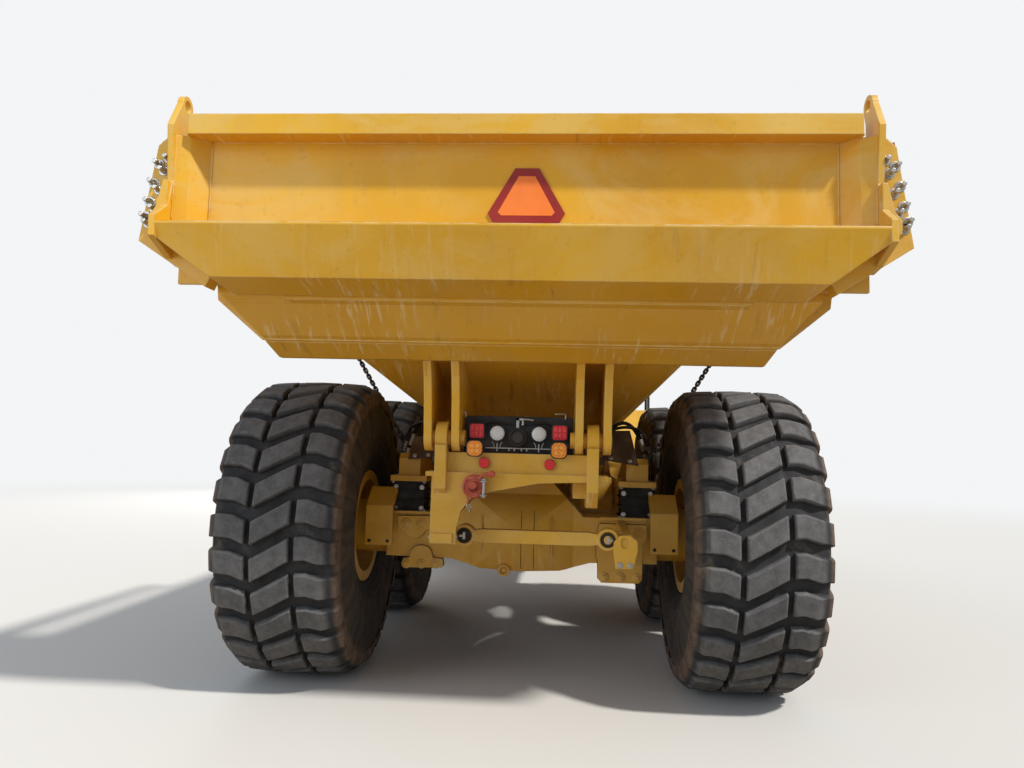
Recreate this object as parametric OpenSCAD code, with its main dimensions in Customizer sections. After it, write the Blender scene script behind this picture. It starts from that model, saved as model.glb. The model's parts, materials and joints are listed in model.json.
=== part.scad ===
// Articulated dump truck: a two-axle bogie under a tipping bed, a tractor with the cab ahead of
// the steering pivot, and an oscillating hitch between them.
// Frame: +X forward, +Y left, +Z up, ground at z = 0, x = 0 halfway between nose and tail.

/* [Wheelbase] */
// Front axle to the nose of the bumper
nose_overhang = 3130; // [2900:10:3400]
// Front axle to middle axle
wheelbase = 4240; // [4100:10:4500]
// Middle axle to rear axle
bogie = 1966; // [1920:2:2060]
// Rear axle to the rearmost edge of the tailgate
tail_overhang = 1720; // [1650:10:1850]
// Distance between the tyre centre lines of an axle
track = 2690; // [2640:10:2800]
// Front axle to the steering pivot
pivot_setback = 1450; // [1400:5:1500]

/* [Tyres and rims] */
// Tyre radius over the lugs
tyre_r = 937.5; // [910:2.5:955]
// Tyre section width
tyre_w = 755; // [700:5:780]
// Lug depth at the shoulder
lug_depth = 48; // [20:1:60]
// Number of lugs round a tyre
lug_count = 28; // [20:2:34]
// Half the tread's width
tread_half = 338; // [300:2:345]
// Rim radius at the bead seat
bead_r = 319.5; // [300:0.5:340]
// Half the rim's width
rim_half = 320; // [305:1:330]
// Rim flange height over the bead seat
flange_h = 42; // [25:1:60]
// Spindle radius
spindle_r = 110; // [90:1:120]

/* [Rear frame] */
// Centre line of a frame rail from the middle
rail_y = 360; // [340:5:370]
// Width of a frame rail
rail_w = 90; // [70:5:100]
// Top of the rear frame rails
rail_top = 1460; // [1440:5:1480]
// Bed hinge pin behind the rear axle
hinge_back = 800; // [760:5:830]
// Height of the bed hinge pin
hinge_z = 1520; // [1500:5:1540]
// Radius of the bed hinge pin
hinge_pin_r = 45; // [35:1:50]
// Thickness of a hinge ear
ear_t = 64; // [56:1:90]
// Centre of a hinge ear from the middle
ear_y = 418; // [410:1:425]

/* [Bogie] */
// Centre of a walking beam from the middle
beam_y = 735; // [725:1:745]
// Width of a walking beam
beam_w = 140; // [100:5:160]
// Height of the rubber mounts' foot over the axle's centre
saddle_h = 112; // [100:1:125]
// Height of a rubber mount
mount_h = 189; // [160:1:200]
// Width of a rubber mount
mount_w = 220; // [160:5:224]

/* [Bed] */
// Height of the underside of the bed's floor
floor_z = 1620; // [1600:5:1660]
// Half the width of the flat floor
floor_half = 570; // [540:5:600]
// Rise of the sloped lower walls
chamfer_rise = 780; // [700:10:800]
// Height of the bed's side walls
side_top = 2930; // [2850:10:3000]
// Outward lean of the upper side walls
side_flare = 150; // [80:10:180]
// Thickness of the bed's plates
plate_t = 25; // [12:1:40]
// Floor's bend ahead of the rear axle
tail_bend = 300; // [200:10:400]
// Height of the tail's lip, under the floor
tail_z = 2170; // [2120:5:2180]
// Top of the headboard
headboard_top = 3420; // [3300:10:3500]

/* [Tailgate] */
// Top of the tailgate's rim
gate_top = 3050; // [3000:10:3150]
// Height of the ledge along the lower beam
ledge_z = 2480; // [2440:5:2520]
// Half the tailgate's width at the ledge
gate_half = 1660; // [1620:5:1690]
// Clear width between a cheek and its arm
arm_stand = 100; // [80:5:120]
// Thickness of a tailgate arm
arm_t = 90; // [50:5:110]
// Gate pivot behind the rear axle
gate_pivot_x = 1100; // [1060:10:1130]
// Height of the gate pivot
gate_pivot_z = 2960; // [2940:5:3040]

/* [Cab and hood] */
// Cab length
cab_l = 1750; // [1600:10:1850]
// Cab width
cab_w = 1720; // [1600:10:1740]
// Height of the cab's floor
cab_floor = 2005; // [2002:1:2040]
// Height of the cab's roof
cab_top = 3720; // [3650:10:3800]
// Thickness of the cab's walls
cab_wall = 50; // [35:1:70]
// Thickness of the panes
glass_t = 8; // [6:1:12]
// Width of the hood
hood_w = 1440; // [1360:10:1500]
// Thickness of the hood's skin
hood_t = 16; // [8:1:25]
// Height of the decks over the front tyres
deck_z = 2030; // [2015:1:2060]
// Number of slats in the grille
slat_count = 9; // [6:1:12]

/* [Chains] */
// Thickness of a chain link
link_d = 11; // [10:0.5:12]
// Inner length of a chain link
link_in = 34; // [32:1:40]

/* [Hidden] */
$fn = 48;
// Gap left between bolted pieces
seat = 0.3;
// Radial gap of pins and shafts
run = 0.4;

body_len = nose_overhang + wheelbase + bogie + tail_overhang;
fx = body_len / 2 - nose_overhang;
mx = fx - wheelbase;
rx = mx - bogie;
bx = (mx + rx) / 2;
px = fx - pivot_setback;
axle_z = tyre_r;
wheel_y = track / 2;

// General shapes

module box(x0, x1, y0, y1, z0, z1) {
  translate([x0, y0, z0]) cube([x1 - x0, y1 - y0, z1 - z0]);
}

// A profile drawn in X and Z, thick from y0 to y1
module side_plate(points, y0, y1) {
  translate([0, y1, 0]) rotate([90, 0, 0]) linear_extrude(y1 - y0) polygon(points);
}

// A profile drawn in Y and Z, thick from x0 to x1
module cross_plate(points, x0, x1) {
  translate([x0, 0, 0]) rotate([90, 0, 90]) linear_extrude(x1 - x0) polygon(points);
}

module y_rod(x, z, r, y0, y1) {
  translate([x, y0, z]) rotate([-90, 0, 0]) cylinder(h = y1 - y0, r = r);
}

module x_rod(y, z, r, x0, x1) {
  translate([x0, y, z]) rotate([0, 90, 0]) cylinder(h = x1 - x0, r = r);
}

module z_rod(x, y, r, z0, z1) {
  translate([x, y, z0]) cylinder(h = z1 - z0, r = r);
}

// A round bar from point a to point b
module bar(a, b, r) {
  d = b - a;
  translate(a)
    rotate([0, acos(d[2] / norm(d)), atan2(d[1], d[0])])
      cylinder(h = norm(d), r = r);
}

// A bent tube through the points, with a ball at each bend
module tube_run(points, r) {
  for (i = [0 : len(points) - 2]) bar(points[i], points[i + 1], r);
  for (i = [1 : len(points) - 2]) translate(points[i]) sphere(r = r + 0.5);
}

module both_sides() {
  children();
  mirror([0, 1, 0]) children();
}

function unit(v) = v / norm(v);
function left_of(v) = [-v[1], v[0]];
function mitre(a, b, c, t) =
  let (n = left_of(unit(b - a)), m = left_of(unit(c - b)))
  b + (n + m) * t / (1 + n * m);
// An outline moved inwards by t, for points listed anticlockwise
function inset(p, t) =
  [for (i = [0 : len(p) - 1]) mitre(p[(i + len(p) - 1) % len(p)], p[i], p[(i + 1) % len(p)], t)];
// A half outline and its mirror image, as one outline
function mirrored(half) =
  concat(half, [for (i = [len(half) - 1 : -1 : 0]) [-half[i][0], half[i][1]]]);
function shifted(p, d) = [for (q = p) q + d];

// Tyres and rims

// Each ring of the tread: lateral place as a share of tread_half, radius drop at the lug's top,
// groove depth as a share of lug_depth, and how far the lug is turned, in lugs
tread_rings = [[-1, 16, 1.15, 0.33], [-0.34, 0, 1, 0.45], [0.34, 0, 1, -0.12], [1, 16, 1.15, 0]];
bulge_r = tyre_r * 0.70;
bead_half = 285;
bead_turn = (tread_rings[0][3] + tread_rings[3][3]) / 2;
bore_r = (bead_r + seat) / cos(180 / lug_count);
lug_share = 0.66;

function ring_point(y, r, turn) = [r * sin(turn * 360 / lug_count), y, r * cos(turn * 360 / lug_count)];
// Three points a lug: its two top edges and the groove's bottom
function tread_ring(t) =
  [for (k = [0 : lug_count - 1]) for (j = [0 : 2])
    ring_point(
      t[0] * tread_half,
      j < 2 ? tyre_r - t[1] : tyre_r - t[1] - t[2] * lug_depth,
      k + t[3] + [0, lug_share, (1 + lug_share) / 2][j])];
function plain_ring(y, r, turn) = [for (k = [0 : lug_count - 1]) ring_point(y, r, k + turn + lug_share / 2)];
function quad(a, b, c, d) = [[a, b, c], [a, c, d]];

module tyre() {
  n = lug_count;
  rings = len(tread_rings);
  // Point layout: the tread rings, then bulge and bead rings of the two sides
  points = concat(
    [for (t = tread_rings) each tread_ring(t)],
    plain_ring(-tyre_w / 2, bulge_r, tread_rings[0][3]), plain_ring(-bead_half, bore_r, bead_turn),
    plain_ring(tyre_w / 2, bulge_r, tread_rings[3][3]), plain_ring(bead_half, bore_r, bead_turn));
  low_bulge = rings * 3 * n;
  low_bead = low_bulge + n;
  high_bulge = low_bead + n;
  high_bead = high_bulge + n;
  last = (rings - 1) * 3 * n;
  faces = concat(
    [for (s = [0 : rings - 2]) for (i = [0 : 3 * n - 1])
      let (a = s * 3 * n + i, b = s * 3 * n + (i + 1) % (3 * n))
      each quad(a, a + 3 * n, b + 3 * n, b)],
    [for (k = [0 : n - 1])
      let (q = (k + 1) % n, a = 3 * k, b = 3 * k + 1, c = 3 * k + 2, d = 3 * q)
      each concat(
        [[a, b, low_bulge + k], [b, c, low_bulge + k], [c, low_bulge + q, low_bulge + k], [c, d, low_bulge + q]],
        quad(low_bulge + k, low_bulge + q, low_bead + q, low_bead + k),
        [[last + b, last + a, high_bulge + k], [last + c, last + b, high_bulge + k],
         [high_bulge + q, last + c, high_bulge + k], [last + d, last + c, high_bulge + q]],
        quad(high_bulge + q, high_bulge + k, high_bead + k, high_bead + q),
        quad(low_bead + k, low_bead + q, high_bead + q, high_bead + k))]);
  color([0.16, 0.16, 0.17]) polyhedron(points = points, faces = faces);
}

// Planetary hub, disc and barrel as one turned outline of radius and place along the axle
hub_r = 215;
hub_in = -90;
hub_blind = 60;
module rim() {
  flange_r = bead_r + flange_h;
  wall = 19.5;
  color([0.90, 0.64, 0.12]) rotate([-90, 0, 0]) rotate_extrude($fn = 96) polygon([
    [0, 250], [120, 250], [150, 235], [150, 190], [hub_r, 180], [hub_r, 90], [bead_r - wall, 90],
    [bead_r - wall, rim_half], [flange_r, rim_half], [flange_r, rim_half - 18], [bead_r, rim_half - 18],
    [bead_r, 18 - rim_half], [flange_r, 18 - rim_half], [flange_r, -rim_half], [bead_r - wall, -rim_half],
    [bead_r - wall, 50], [hub_r, 50], [hub_r, hub_in], [spindle_r + run, hub_in], [spindle_r + run, hub_blind],
    [0, hub_blind]]);
}

// side is 1 on the left and -1 on the right; every tyre turns its tread the same way
module at_wheel(x, side) translate([x, side * wheel_y, axle_z]) children();
module rim_at(x, side) at_wheel(x, side) mirror([0, side < 0 ? 1 : 0, 0]) rim();

// Axles

// Half of the casting's outline from behind, and half its depth at the arms
casting = [[0, -245], [250, -232], [440, -178], [860, -172], [860, saddle_h - 5], [395, saddle_h - 5], [195, 325],
           [0, 325]];
arm_depth = 150;
cover_depth = 225;
carrier_r = 270;
drum_in = 870;
drum_out = wheel_y + hub_in - 75;
module axle_housing() {
  cross_plate(mirrored(casting), -arm_depth, arm_depth);
  // Rounded cover behind, seat plates of the rubber mounts on top
  intersection() {
    cross_plate(mirrored(casting), -cover_depth - 5, 0);
    y_rod(430 - cover_depth, 0, 430, -450, 450);
    z_rod(780 - cover_depth, 0, 780, -250, 330);
  }
  both_sides() box(-arm_depth - 15, arm_depth + 15, 500, 858, saddle_h - 16, saddle_h);
  x_rod(0, 0, carrier_r, 0, 160);
  rotate([0, 90, 0]) translate([0, 0, 150]) cylinder(h = 150, r1 = 220, r2 = 110);
  x_rod(0, 0, 85, 300, 360);
  both_sides() {
    y_rod(0, 0, 168, drum_in - 20, drum_out);
    y_rod(0, 0, spindle_r, drum_out - 20, wheel_y + hub_blind - 5);
  }
}

// Guard plate over the brake caliper, behind the axle by the wheel
module caliper_guard() {
  side_plate([[-262, -95], [-232, -95], [-232, 130], [-120, 225], [-120, 262], [-262, 150]], 805, 975);
  box(-240, -110, 820, 960, -60, -20);
}

// Frame rails and hitch of the tractor

front_rail_y = 410;
front_rail_w = 100;
front_rail_z0 = 1180;
front_rail_z1 = 1480;
front_rail_in = front_rail_y - front_rail_w / 2;
front_rail_out = front_rail_y + front_rail_w / 2;
rail_front_x = fx + nose_overhang - 430;
rail_back_x = px + 500;
king_r = 70;
ear_low = [730, 800];
ear_high = [1360, 1430];
steer_z = 1080;
steer_base = [px + 1000, 300];
steer_lug = [px, 300];
outrigger_x = [fx - 520, fx + 1040];
outrigger_half = 40;
steer_eye_r = 50;
steer_eye_h = 50;
steer_pin_r = 25;

module front_frame() color([0.20, 0.20, 0.21]) {
  difference() {
    union() {
      both_sides()
        box(rail_back_x, rail_front_x, front_rail_in, front_rail_out, front_rail_z0, front_rail_z1);
      box(rail_front_x - 100, rail_front_x, -front_rail_in, front_rail_in, front_rail_z0, front_rail_z1);
      box(rail_back_x, rail_back_x + 100, -front_rail_out, front_rail_out, ear_low[0], front_rail_z1);
      for (e = [ear_low, ear_high]) {
        box(px, rail_back_x + 50, -200, 200, e[0], e[1]);
        z_rod(px, 0, 200, e[0], e[1]);
      }
      z_rod(px, 0, king_r, ear_low[0], ear_low[1] + 90);
      z_rod(px, 0, king_r, ear_high[0] - 90, ear_high[1] + 20);
    }
    both_sides()
      box(rail_back_x - 10, rail_back_x + 110, 225, front_rail_out + 10, 960, front_rail_z0);
    x_rod(0, steer_z, 80, rail_back_x - 10, rail_back_x + 110);
  }
  // Cab and deck supports
  for (x = outrigger_x) both_sides() {
    box(x - outrigger_half, x + outrigger_half, front_rail_in, front_rail_out - 20, front_rail_z1 - 10, deck_z - 30 - seat);
    box(x - outrigger_half, x + outrigger_half, front_rail_in, 1480, deck_z - 105, deck_z - 30 - seat);
  }
  // Mounts under the cab
  for (x = outrigger_x) both_sides() z_rod(x, 640, 38, deck_z - 60, cab_floor - seat);
  // Brackets of the steering cylinders, under the rails
  both_sides() {
    box(steer_base[0] - 60, steer_base[0] + 150, front_rail_in - 90, front_rail_in + 40,
        steer_z + steer_eye_h / 2 + 5, front_rail_z0 + 10);
    box(steer_base[0] - 60, steer_base[0] + 150, front_rail_in - 90, front_rail_in + 40,
        steer_z - steer_eye_h / 2 - 35, steer_z - steer_eye_h / 2 - 5);
    box(steer_base[0] + 90, steer_base[0] + 150, front_rail_in - 90, front_rail_in + 40,
        steer_z - steer_eye_h / 2 - 35, front_rail_z0 + 10);
    z_rod(steer_base[0], steer_base[1], steer_pin_r, steer_z - steer_eye_h / 2 - 20, steer_z + steer_eye_h / 2 + 20);
  }
}

bumper_z = [700, 1200];
bumper_half = 1340;
nose_x = fx + nose_overhang;
bumper_face = nose_x - 130;
tow_eye_r = 32;
tow_lug_r = 68;
tow_lug_y = 460;
tow_lug_t = 60;
tow_z = 820;
module front_bumper() color([0.90, 0.64, 0.12]) {
  difference() {
    union() {
      translate([0, 0, bumper_z[0]]) linear_extrude(bumper_z[1] - bumper_z[0]) polygon([
        [rail_front_x + seat, -bumper_half + 60], [bumper_face - 170, -bumper_half], [bumper_face, -1000],
        [bumper_face, 1000], [bumper_face - 170, bumper_half], [rail_front_x + seat, bumper_half - 60]]);
      box(rail_front_x + seat, bumper_face - 40, -700, 700, bumper_z[1] - 10, front_rail_z1 - 5);
    }
    // Lamp pockets and the hollow behind the beam
    both_sides() box(bumper_face - 90, nose_x, 640, 940, 900, 1100);
    box(rail_front_x - 10, bumper_face - 110, -1150, 1150, bumper_z[0] - 10, 1120);
  }
  both_sides() difference() {
    union() {
      y_rod(nose_x - tow_lug_r, tow_z, tow_lug_r, tow_lug_y - tow_lug_t / 2, tow_lug_y + tow_lug_t / 2);
      box(bumper_face - 10, nose_x - tow_lug_r, tow_lug_y - tow_lug_t / 2, tow_lug_y + tow_lug_t / 2, tow_z - tow_lug_r, tow_z + tow_lug_r);
    }
    y_rod(nose_x - tow_lug_r, tow_z, tow_eye_r, tow_lug_y - tow_lug_t, tow_lug_y + tow_lug_t);
  }
  hood_brackets();
}

// Engine, cooler, gearbox

engine_x0 = fx + 1130;
module engine() color([0.55, 0.42, 0.16])
  box(engine_x0, fx + 2300, -front_rail_in + seat, front_rail_in - seat, 1150, 2080);

module radiator() color([0.12, 0.12, 0.13])
  box(fx + 2470, fx + 2590, -540, 540, front_rail_z1 + seat, 2120);

module front_driveline() color([0.30, 0.27, 0.20]) {
  box(fx - 840, fx - 380, -230, 230, 800, 1420);
  box(fx - 400, engine_x0 - seat, -230, 230, 1310, 1700);
  box(fx - 500, fx - 420, -front_rail_in + seat, front_rail_in - seat, 1250, 1330);
  x_rod(0, axle_z, 50, fx + 360 + seat, fx + 420);
  x_rod(0, axle_z, 40, fx + 400, fx + 720);
  box(fx + 640, fx + 760, -120, 120, axle_z - 110, 1315);
  x_rod(0, steer_z, 55, px + 420, fx - 830);
}

module front_axle() color([0.86, 0.60, 0.12]) translate([fx, 0, axle_z]) {
  axle_housing();
  both_sides() caliper_guard();
}

strut_y = 650;
module front_struts() {
  color([0.86, 0.60, 0.12]) both_sides() {
    z_rod(fx, strut_y, 85, axle_z + saddle_h + 260, 1700);
    box(fx - 60, fx + 60, front_rail_out + seat, strut_y, 1520 - 100, 1520);
    side_plate([[fx - 90, axle_z + saddle_h + seat], [fx + 90, axle_z + saddle_h + seat],
                [fx + 50, axle_z + saddle_h + 70], [fx - 50, axle_z + saddle_h + 70]], strut_y - 40, strut_y + 40);
  }
  color([0.75, 0.75, 0.77]) both_sides() z_rod(fx, strut_y, 50, axle_z + saddle_h + 60, axle_z + saddle_h + 270);
}

// Decks over the front tyres, each a bent sheet from front to back
fender_y = [885, 1660];
fender_t = 30;
fender_line = [[fx - 1010, 1500], [fx - 600, deck_z], [fx + 1090, deck_z], [fx + 1330, 1690]];
module front_fenders() color([0.90, 0.64, 0.12]) both_sides() {
  under = [for (p = fender_line) p - [0, fender_t]];
  side_plate(concat(under, [for (i = [len(fender_line) - 1 : -1 : 0]) fender_line[i]]), fender_y[0], fender_y[1]);
}

// Cab, as a hollow box with its windows cut

cab_x0 = fx - 650;
cab_x1 = cab_x0 + cab_l;
cab_y = cab_w / 2;
cab_side = [[cab_x0, cab_floor], [cab_x1, cab_floor], [cab_x1, cab_floor + 480], [cab_x1 - 110, cab_top - 150],
            [cab_x1 - 10, cab_top - 120], [cab_x1 - 10, cab_top - 40],
            [cab_x1 - 40, cab_top], [cab_x0 + 30, cab_top], [cab_x0, cab_top - 60]];
sill_z = cab_floor + 560;
head_z = cab_top - 240;
door_x = [cab_x0 + 620, cab_x0 + 1530];
door_z = [cab_floor + 70, cab_top - 190];
door_gap = 6;
rear_pane_x = [cab_x0 + 120, door_x[0] - 90];
front_lean = -110 / (cab_top - 150 - cab_floor - 480);
function front_wall_x(z) = cab_x1 + front_lean * max(0, z - cab_floor - 480);

module cab_shell() color([0.90, 0.64, 0.12]) {
  cab_box();
  cab_hinges();
}
module cab_box() difference() {
  side_plate(cab_side, -cab_y, cab_y);
  side_plate(inset([cab_side[0], cab_side[1], cab_side[2], cab_side[3], [cab_x0, cab_top - 60]], cab_wall),
             -cab_y + cab_wall, cab_y - cab_wall);
  // Windscreen and rear window
  box(cab_x1 - 260, cab_x1 + 40, -cab_y + 110, cab_y - 110, sill_z, head_z);
  box(cab_x0 - 10, cab_x0 + cab_wall + 10, -cab_y + 130, cab_y - 130, sill_z, head_z);
  // Door on the left, fixed pane in the same place on the right
  box(door_x[0], door_x[1], cab_y - cab_wall - 10, cab_y + 10, door_z[0], door_z[1]);
  box(door_x[0], door_x[1], -cab_y - 10, -cab_y + cab_wall + 10, sill_z, head_z);
  // Quarter panes
  both_sides() box(rear_pane_x[0], rear_pane_x[1], cab_y - cab_wall - 10, cab_y + 10, sill_z, head_z);
}

// Door hinges: barrel and pin on the cab, barrel with a bore on the door
door_pin = [door_x[0] + 3, cab_y + 12];
hinge_at = [cab_floor + 395, cab_top - 420];
module hinge_leaf(x0, x1, z0, z1) {
  box(x0, x1, cab_y - 2, cab_y + 8, z0, z1);
  z_rod(door_pin[0], door_pin[1], 11.5, z0, z1);
}
module cab_hinges() for (z = hinge_at) {
  hinge_leaf(door_pin[0] - 60, door_pin[0], z, z + 40);
  z_rod(door_pin[0], door_pin[1], 6, z + 30, z + 96);
}
module door_hinges() for (z = hinge_at) difference() {
  hinge_leaf(door_pin[0] + 4, door_pin[0] + 70, z + 42, z + 92);
  z_rod(door_pin[0], door_pin[1], 6 + run, z + 30, z + 100);
}

module cab_glass() color([0.35, 0.45, 0.50, 0.4]) {
  pane = [[front_wall_x(sill_z) - 20 - glass_t, sill_z + seat], [front_wall_x(sill_z) - 20, sill_z + seat],
          [front_wall_x(head_z) - 20, head_z - seat], [front_wall_x(head_z) - 20 - glass_t, head_z - seat]];
  side_plate(pane, -cab_y + 110 + seat, cab_y - 110 - seat);
  box(cab_x0 + 20, cab_x0 + 20 + glass_t, -cab_y + 130 + seat, cab_y - 130 - seat, sill_z + seat, head_z - seat);
  box(door_x[0] + seat, door_x[1] - seat, -cab_y + 20, -cab_y + 20 + glass_t, sill_z + seat, head_z - seat);
  both_sides() box(rear_pane_x[0] + seat, rear_pane_x[1] - seat, cab_y - 20 - glass_t, cab_y - 20,
                   sill_z + seat, head_z - seat);
}

module cab_door() color([0.90, 0.64, 0.12]) {
  difference() {
    box(door_x[0] + door_gap, door_x[1] - door_gap, cab_y - cab_wall, cab_y, door_z[0] + door_gap, door_z[1] - door_gap);
    box(door_x[0] + 80, door_x[1] - 80, cab_y - cab_wall - 5, cab_y + 5, door_z[0] + 420, door_z[1] - 80);
  }
  door_hinges();
}

module door_glass() color([0.35, 0.45, 0.50, 0.4])
  box(door_x[0] + 80 + seat, door_x[1] - 80 - seat, cab_y - 20 - glass_t, cab_y - 20,
      door_z[0] + 420 + seat, door_z[1] - 80 - seat);

module driver_seat() color([0.13, 0.13, 0.14]) {
  x = cab_x0 + 420;
  floor_in = cab_floor + cab_wall + seat;
  box(x - 200, x + 220, -220, 220, floor_in, floor_in + 260);
  box(x - 250, x + 260, -260, 260, floor_in + 240, floor_in + 400);
  side_plate([[x - 250, floor_in + 380], [x - 130, floor_in + 380], [x - 190, floor_in + 1120], [x - 280, floor_in + 1120]],
             -240, 240);
}

module cab_controls() color([0.15, 0.15, 0.16]) {
  floor_in = cab_floor + cab_wall + seat;
  front_in = cab_x1 - cab_wall - seat;
  side_plate([[front_in - 330, floor_in + 560], [front_in - 120, floor_in], [front_in, floor_in], [front_in, floor_in + 425],
              [front_in - 40, floor_in + 620], [front_in - 300, floor_in + 700]], -620, 620);
  bar([front_in - 260, 0, floor_in + 640], [front_in - 400, 0, floor_in + 800], 30);
  translate([front_in - 400, 0, floor_in + 800]) rotate([0, -41, 0])
    rotate_extrude() translate([200, 0]) circle(r = 15);
  for (a = [0, 120, 240])
    translate([front_in - 400, 0, floor_in + 800]) rotate([0, -41, 0]) rotate([0, 0, a])
      rotate([0, 90, 0]) cylinder(h = 200, r = 12);
}

// Steps, rails, tanks

step_x = [fx + 1340, fx + 1900];
step_y = [900, 1480];
step_count = 4;
module cab_steps() color([0.20, 0.20, 0.21]) {
  for (y = [step_y[0], step_y[1] - 20])
    side_plate([[step_x[0], 450], [step_x[0] + 330, 450], [step_x[1] - 60, 1690], [step_x[0], 1690]], y, y + 20);
  for (i = [0 : step_count - 1])
    box(step_x[0] + 20 * i, step_x[0] + 300 + 45 * i, step_y[0], step_y[1], 470 + i * 390, 500 + i * 390);
  box(step_x[0] + 100, step_x[0] + 200, front_rail_out + seat, step_y[0] + 5, 1230, 1310);
}

rail_r = 19;
module handrails() color([0.13, 0.13, 0.14]) {
  deck = deck_z + seat;
  // Left: up from the bumper, back to the cab, down to the deck
  tube_run([[bumper_face - 120, 1180, bumper_z[1] + seat], [bumper_face - 120, 1180, 1900], [fx + 1500, 1180, 2750],
            [fx + 1060, 1180, 2750], [fx + 1060, 1180, deck]], rail_r);
  for (s = [1, -1]) {
    tube_run([[fx + 1000, s * 1600, deck], [fx + 1000, s * 1600, deck + 850], [fx + 640, s * 1600, deck + 850],
              [fx + 640, s * 1600, deck]], rail_r);
    bar([fx + 1000, s * 1600, deck + 430], [fx + 640, s * 1600, deck + 430], rail_r * 0.8);
  }
}

module side_tanks() color([0.90, 0.64, 0.12]) {
  // Fuel on the right, batteries on the left
  side_plate([[fx + 1210, 850], [fx + 1330, 720], [fx + 2500, 720], [fx + 2500, 1420], [fx + 1280, 1420], [fx + 1210, 1340]],
             -1400, -front_rail_out - seat);
  side_plate([[fx + 1960, 760], [fx + 2560, 760], [fx + 2560, 1330], [fx + 1960, 1330]], front_rail_out + seat, 1300);
}

stack_at = [fx + 860, -1180];
module exhaust_stack() color([0.25, 0.24, 0.23]) {
  z_rod(stack_at[0], stack_at[1], 120, deck_z + seat, deck_z + 60);
  z_rod(stack_at[0], stack_at[1], 150, deck_z + 60, deck_z + 820);
  z_rod(stack_at[0], stack_at[1], 62, deck_z + 820, deck_z + 1280);
  translate([stack_at[0] - 160, stack_at[1], deck_z + 1280]) rotate([90, 0, 0])
    rotate_extrude(angle = 50) translate([160, 0]) circle(r = 62);
}

cleaner_at = [fx + 380, -1180];
module air_cleaner() color([0.15, 0.15, 0.16]) {
  z_rod(cleaner_at[0], cleaner_at[1], 170, deck_z + seat, deck_z + 700);
  z_rod(cleaner_at[0], cleaner_at[1], 70, deck_z + 700, deck_z + 800);
  translate([cleaner_at[0], cleaner_at[1], deck_z + 790]) cylinder(h = 90, r1 = 150, r2 = 110);
}

mirror_y = 1500;
module mirrors() color([0.13, 0.13, 0.14]) for (s = [1, -1]) {
  tube_run([[cab_x1 - 10 + seat, s * (cab_y - 60), cab_top - 80], [cab_x1 + 40, s * (cab_y - 60), cab_top - 80],
            [cab_x1 + 160, s * mirror_y, cab_top - 80],
            [cab_x1 + 160, s * mirror_y, cab_top - 900]], 16);
  box(cab_x1 + 130, cab_x1 + 190, s * mirror_y - 130, s * mirror_y + 130, cab_top - 720, cab_top - 300);
}

// Hood hinge: brackets and pin on the bumper, a knuckle on the hood
hood_pin = [nose_x - 100, front_rail_z1 + 20];
hood_lug_y = [335, 387];
module hood_brackets() both_sides() {
  for (y = [hood_lug_y[0] - 35, hood_lug_y[1] + 5])
    side_plate([[hood_pin[0] - 128, 1465], [hood_pin[0] - 78, 1465], [hood_pin[0] + 22, 1482], [hood_pin[0] + 22, 1515],
                [hood_pin[0] + 8, 1522], [hood_pin[0] - 23, 1522], [hood_pin[0] - 128, 1490]], y, y + 30);
  y_rod(hood_pin[0], hood_pin[1], 15, hood_lug_y[0] - 20, hood_lug_y[1] + 20);
}
module hood_knuckles() both_sides() difference() {
  union() {
    y_rod(hood_pin[0], hood_pin[1], 25, hood_lug_y[0], hood_lug_y[1]);
    box(hood_pin[0] - 16, hood_pin[0] + 16, hood_lug_y[0], hood_lug_y[1], hood_pin[1], hood_z0 + 62);
  }
  y_rod(hood_pin[0], hood_pin[1], 15 + run, hood_lug_y[0] - 5, hood_lug_y[1] + 5);
}

module front_lamps() color([0.92, 0.92, 0.90]) both_sides() {
  for (y = [715, 865]) x_rod(y, 1000, 62, bumper_face - 90 + seat, bumper_face - 10);
}

// Hood and grille

hood_x0 = cab_x1 + 40;
hood_x1 = nose_x - 60;
hood_z0 = front_rail_z1 + 20;
hood_side = [[hood_x0, hood_z0], [hood_x1 - 120, hood_z0], [hood_x1 - 20, hood_z0 + 60], [hood_x1, 2050],
             [hood_x1 - 90, 2240], [hood_x0, 2740]];
hood_cross = [[-hood_w / 2, hood_z0], [hood_w / 2, hood_z0], [hood_w / 2, 2300], [hood_w / 2 - 150, 2760],
              [150 - hood_w / 2, 2760], [-hood_w / 2, 2300]];
grille_y = 480;
grille_z = [hood_z0 + 110, 2010];
module hood() color([0.90, 0.64, 0.12]) {
  hood_skin();
  hood_knuckles();
}
module hood_skin() difference() {
  intersection() {
    side_plate(hood_side, -hood_w, hood_w);
    cross_plate(hood_cross, hood_x0 - 10, hood_x1 + 10);
  }
  intersection() {
    side_plate(inset([[hood_x0 - 200, hood_z0 - 200], [hood_x1 - 120, hood_z0 - 200], [hood_x1 - 20, hood_z0 + 60],
                      [hood_x1, 2050], [hood_x1 - 90, 2240], [hood_x0, 2740], [hood_x0 - 200, 2790]], hood_t), -hood_w, hood_w);
    cross_plate(inset([[-hood_w / 2, hood_z0 - 200], [hood_w / 2, hood_z0 - 200], [hood_w / 2, 2300],
                       [hood_w / 2 - 150, 2760], [150 - hood_w / 2, 2760], [-hood_w / 2, 2300]], hood_t),
                hood_x0 - 100, hood_x1 + 10);
  }
  box(hood_x1 - 110, hood_x1 + 10, -grille_y, grille_y, grille_z[0], grille_z[1]);
}

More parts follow.
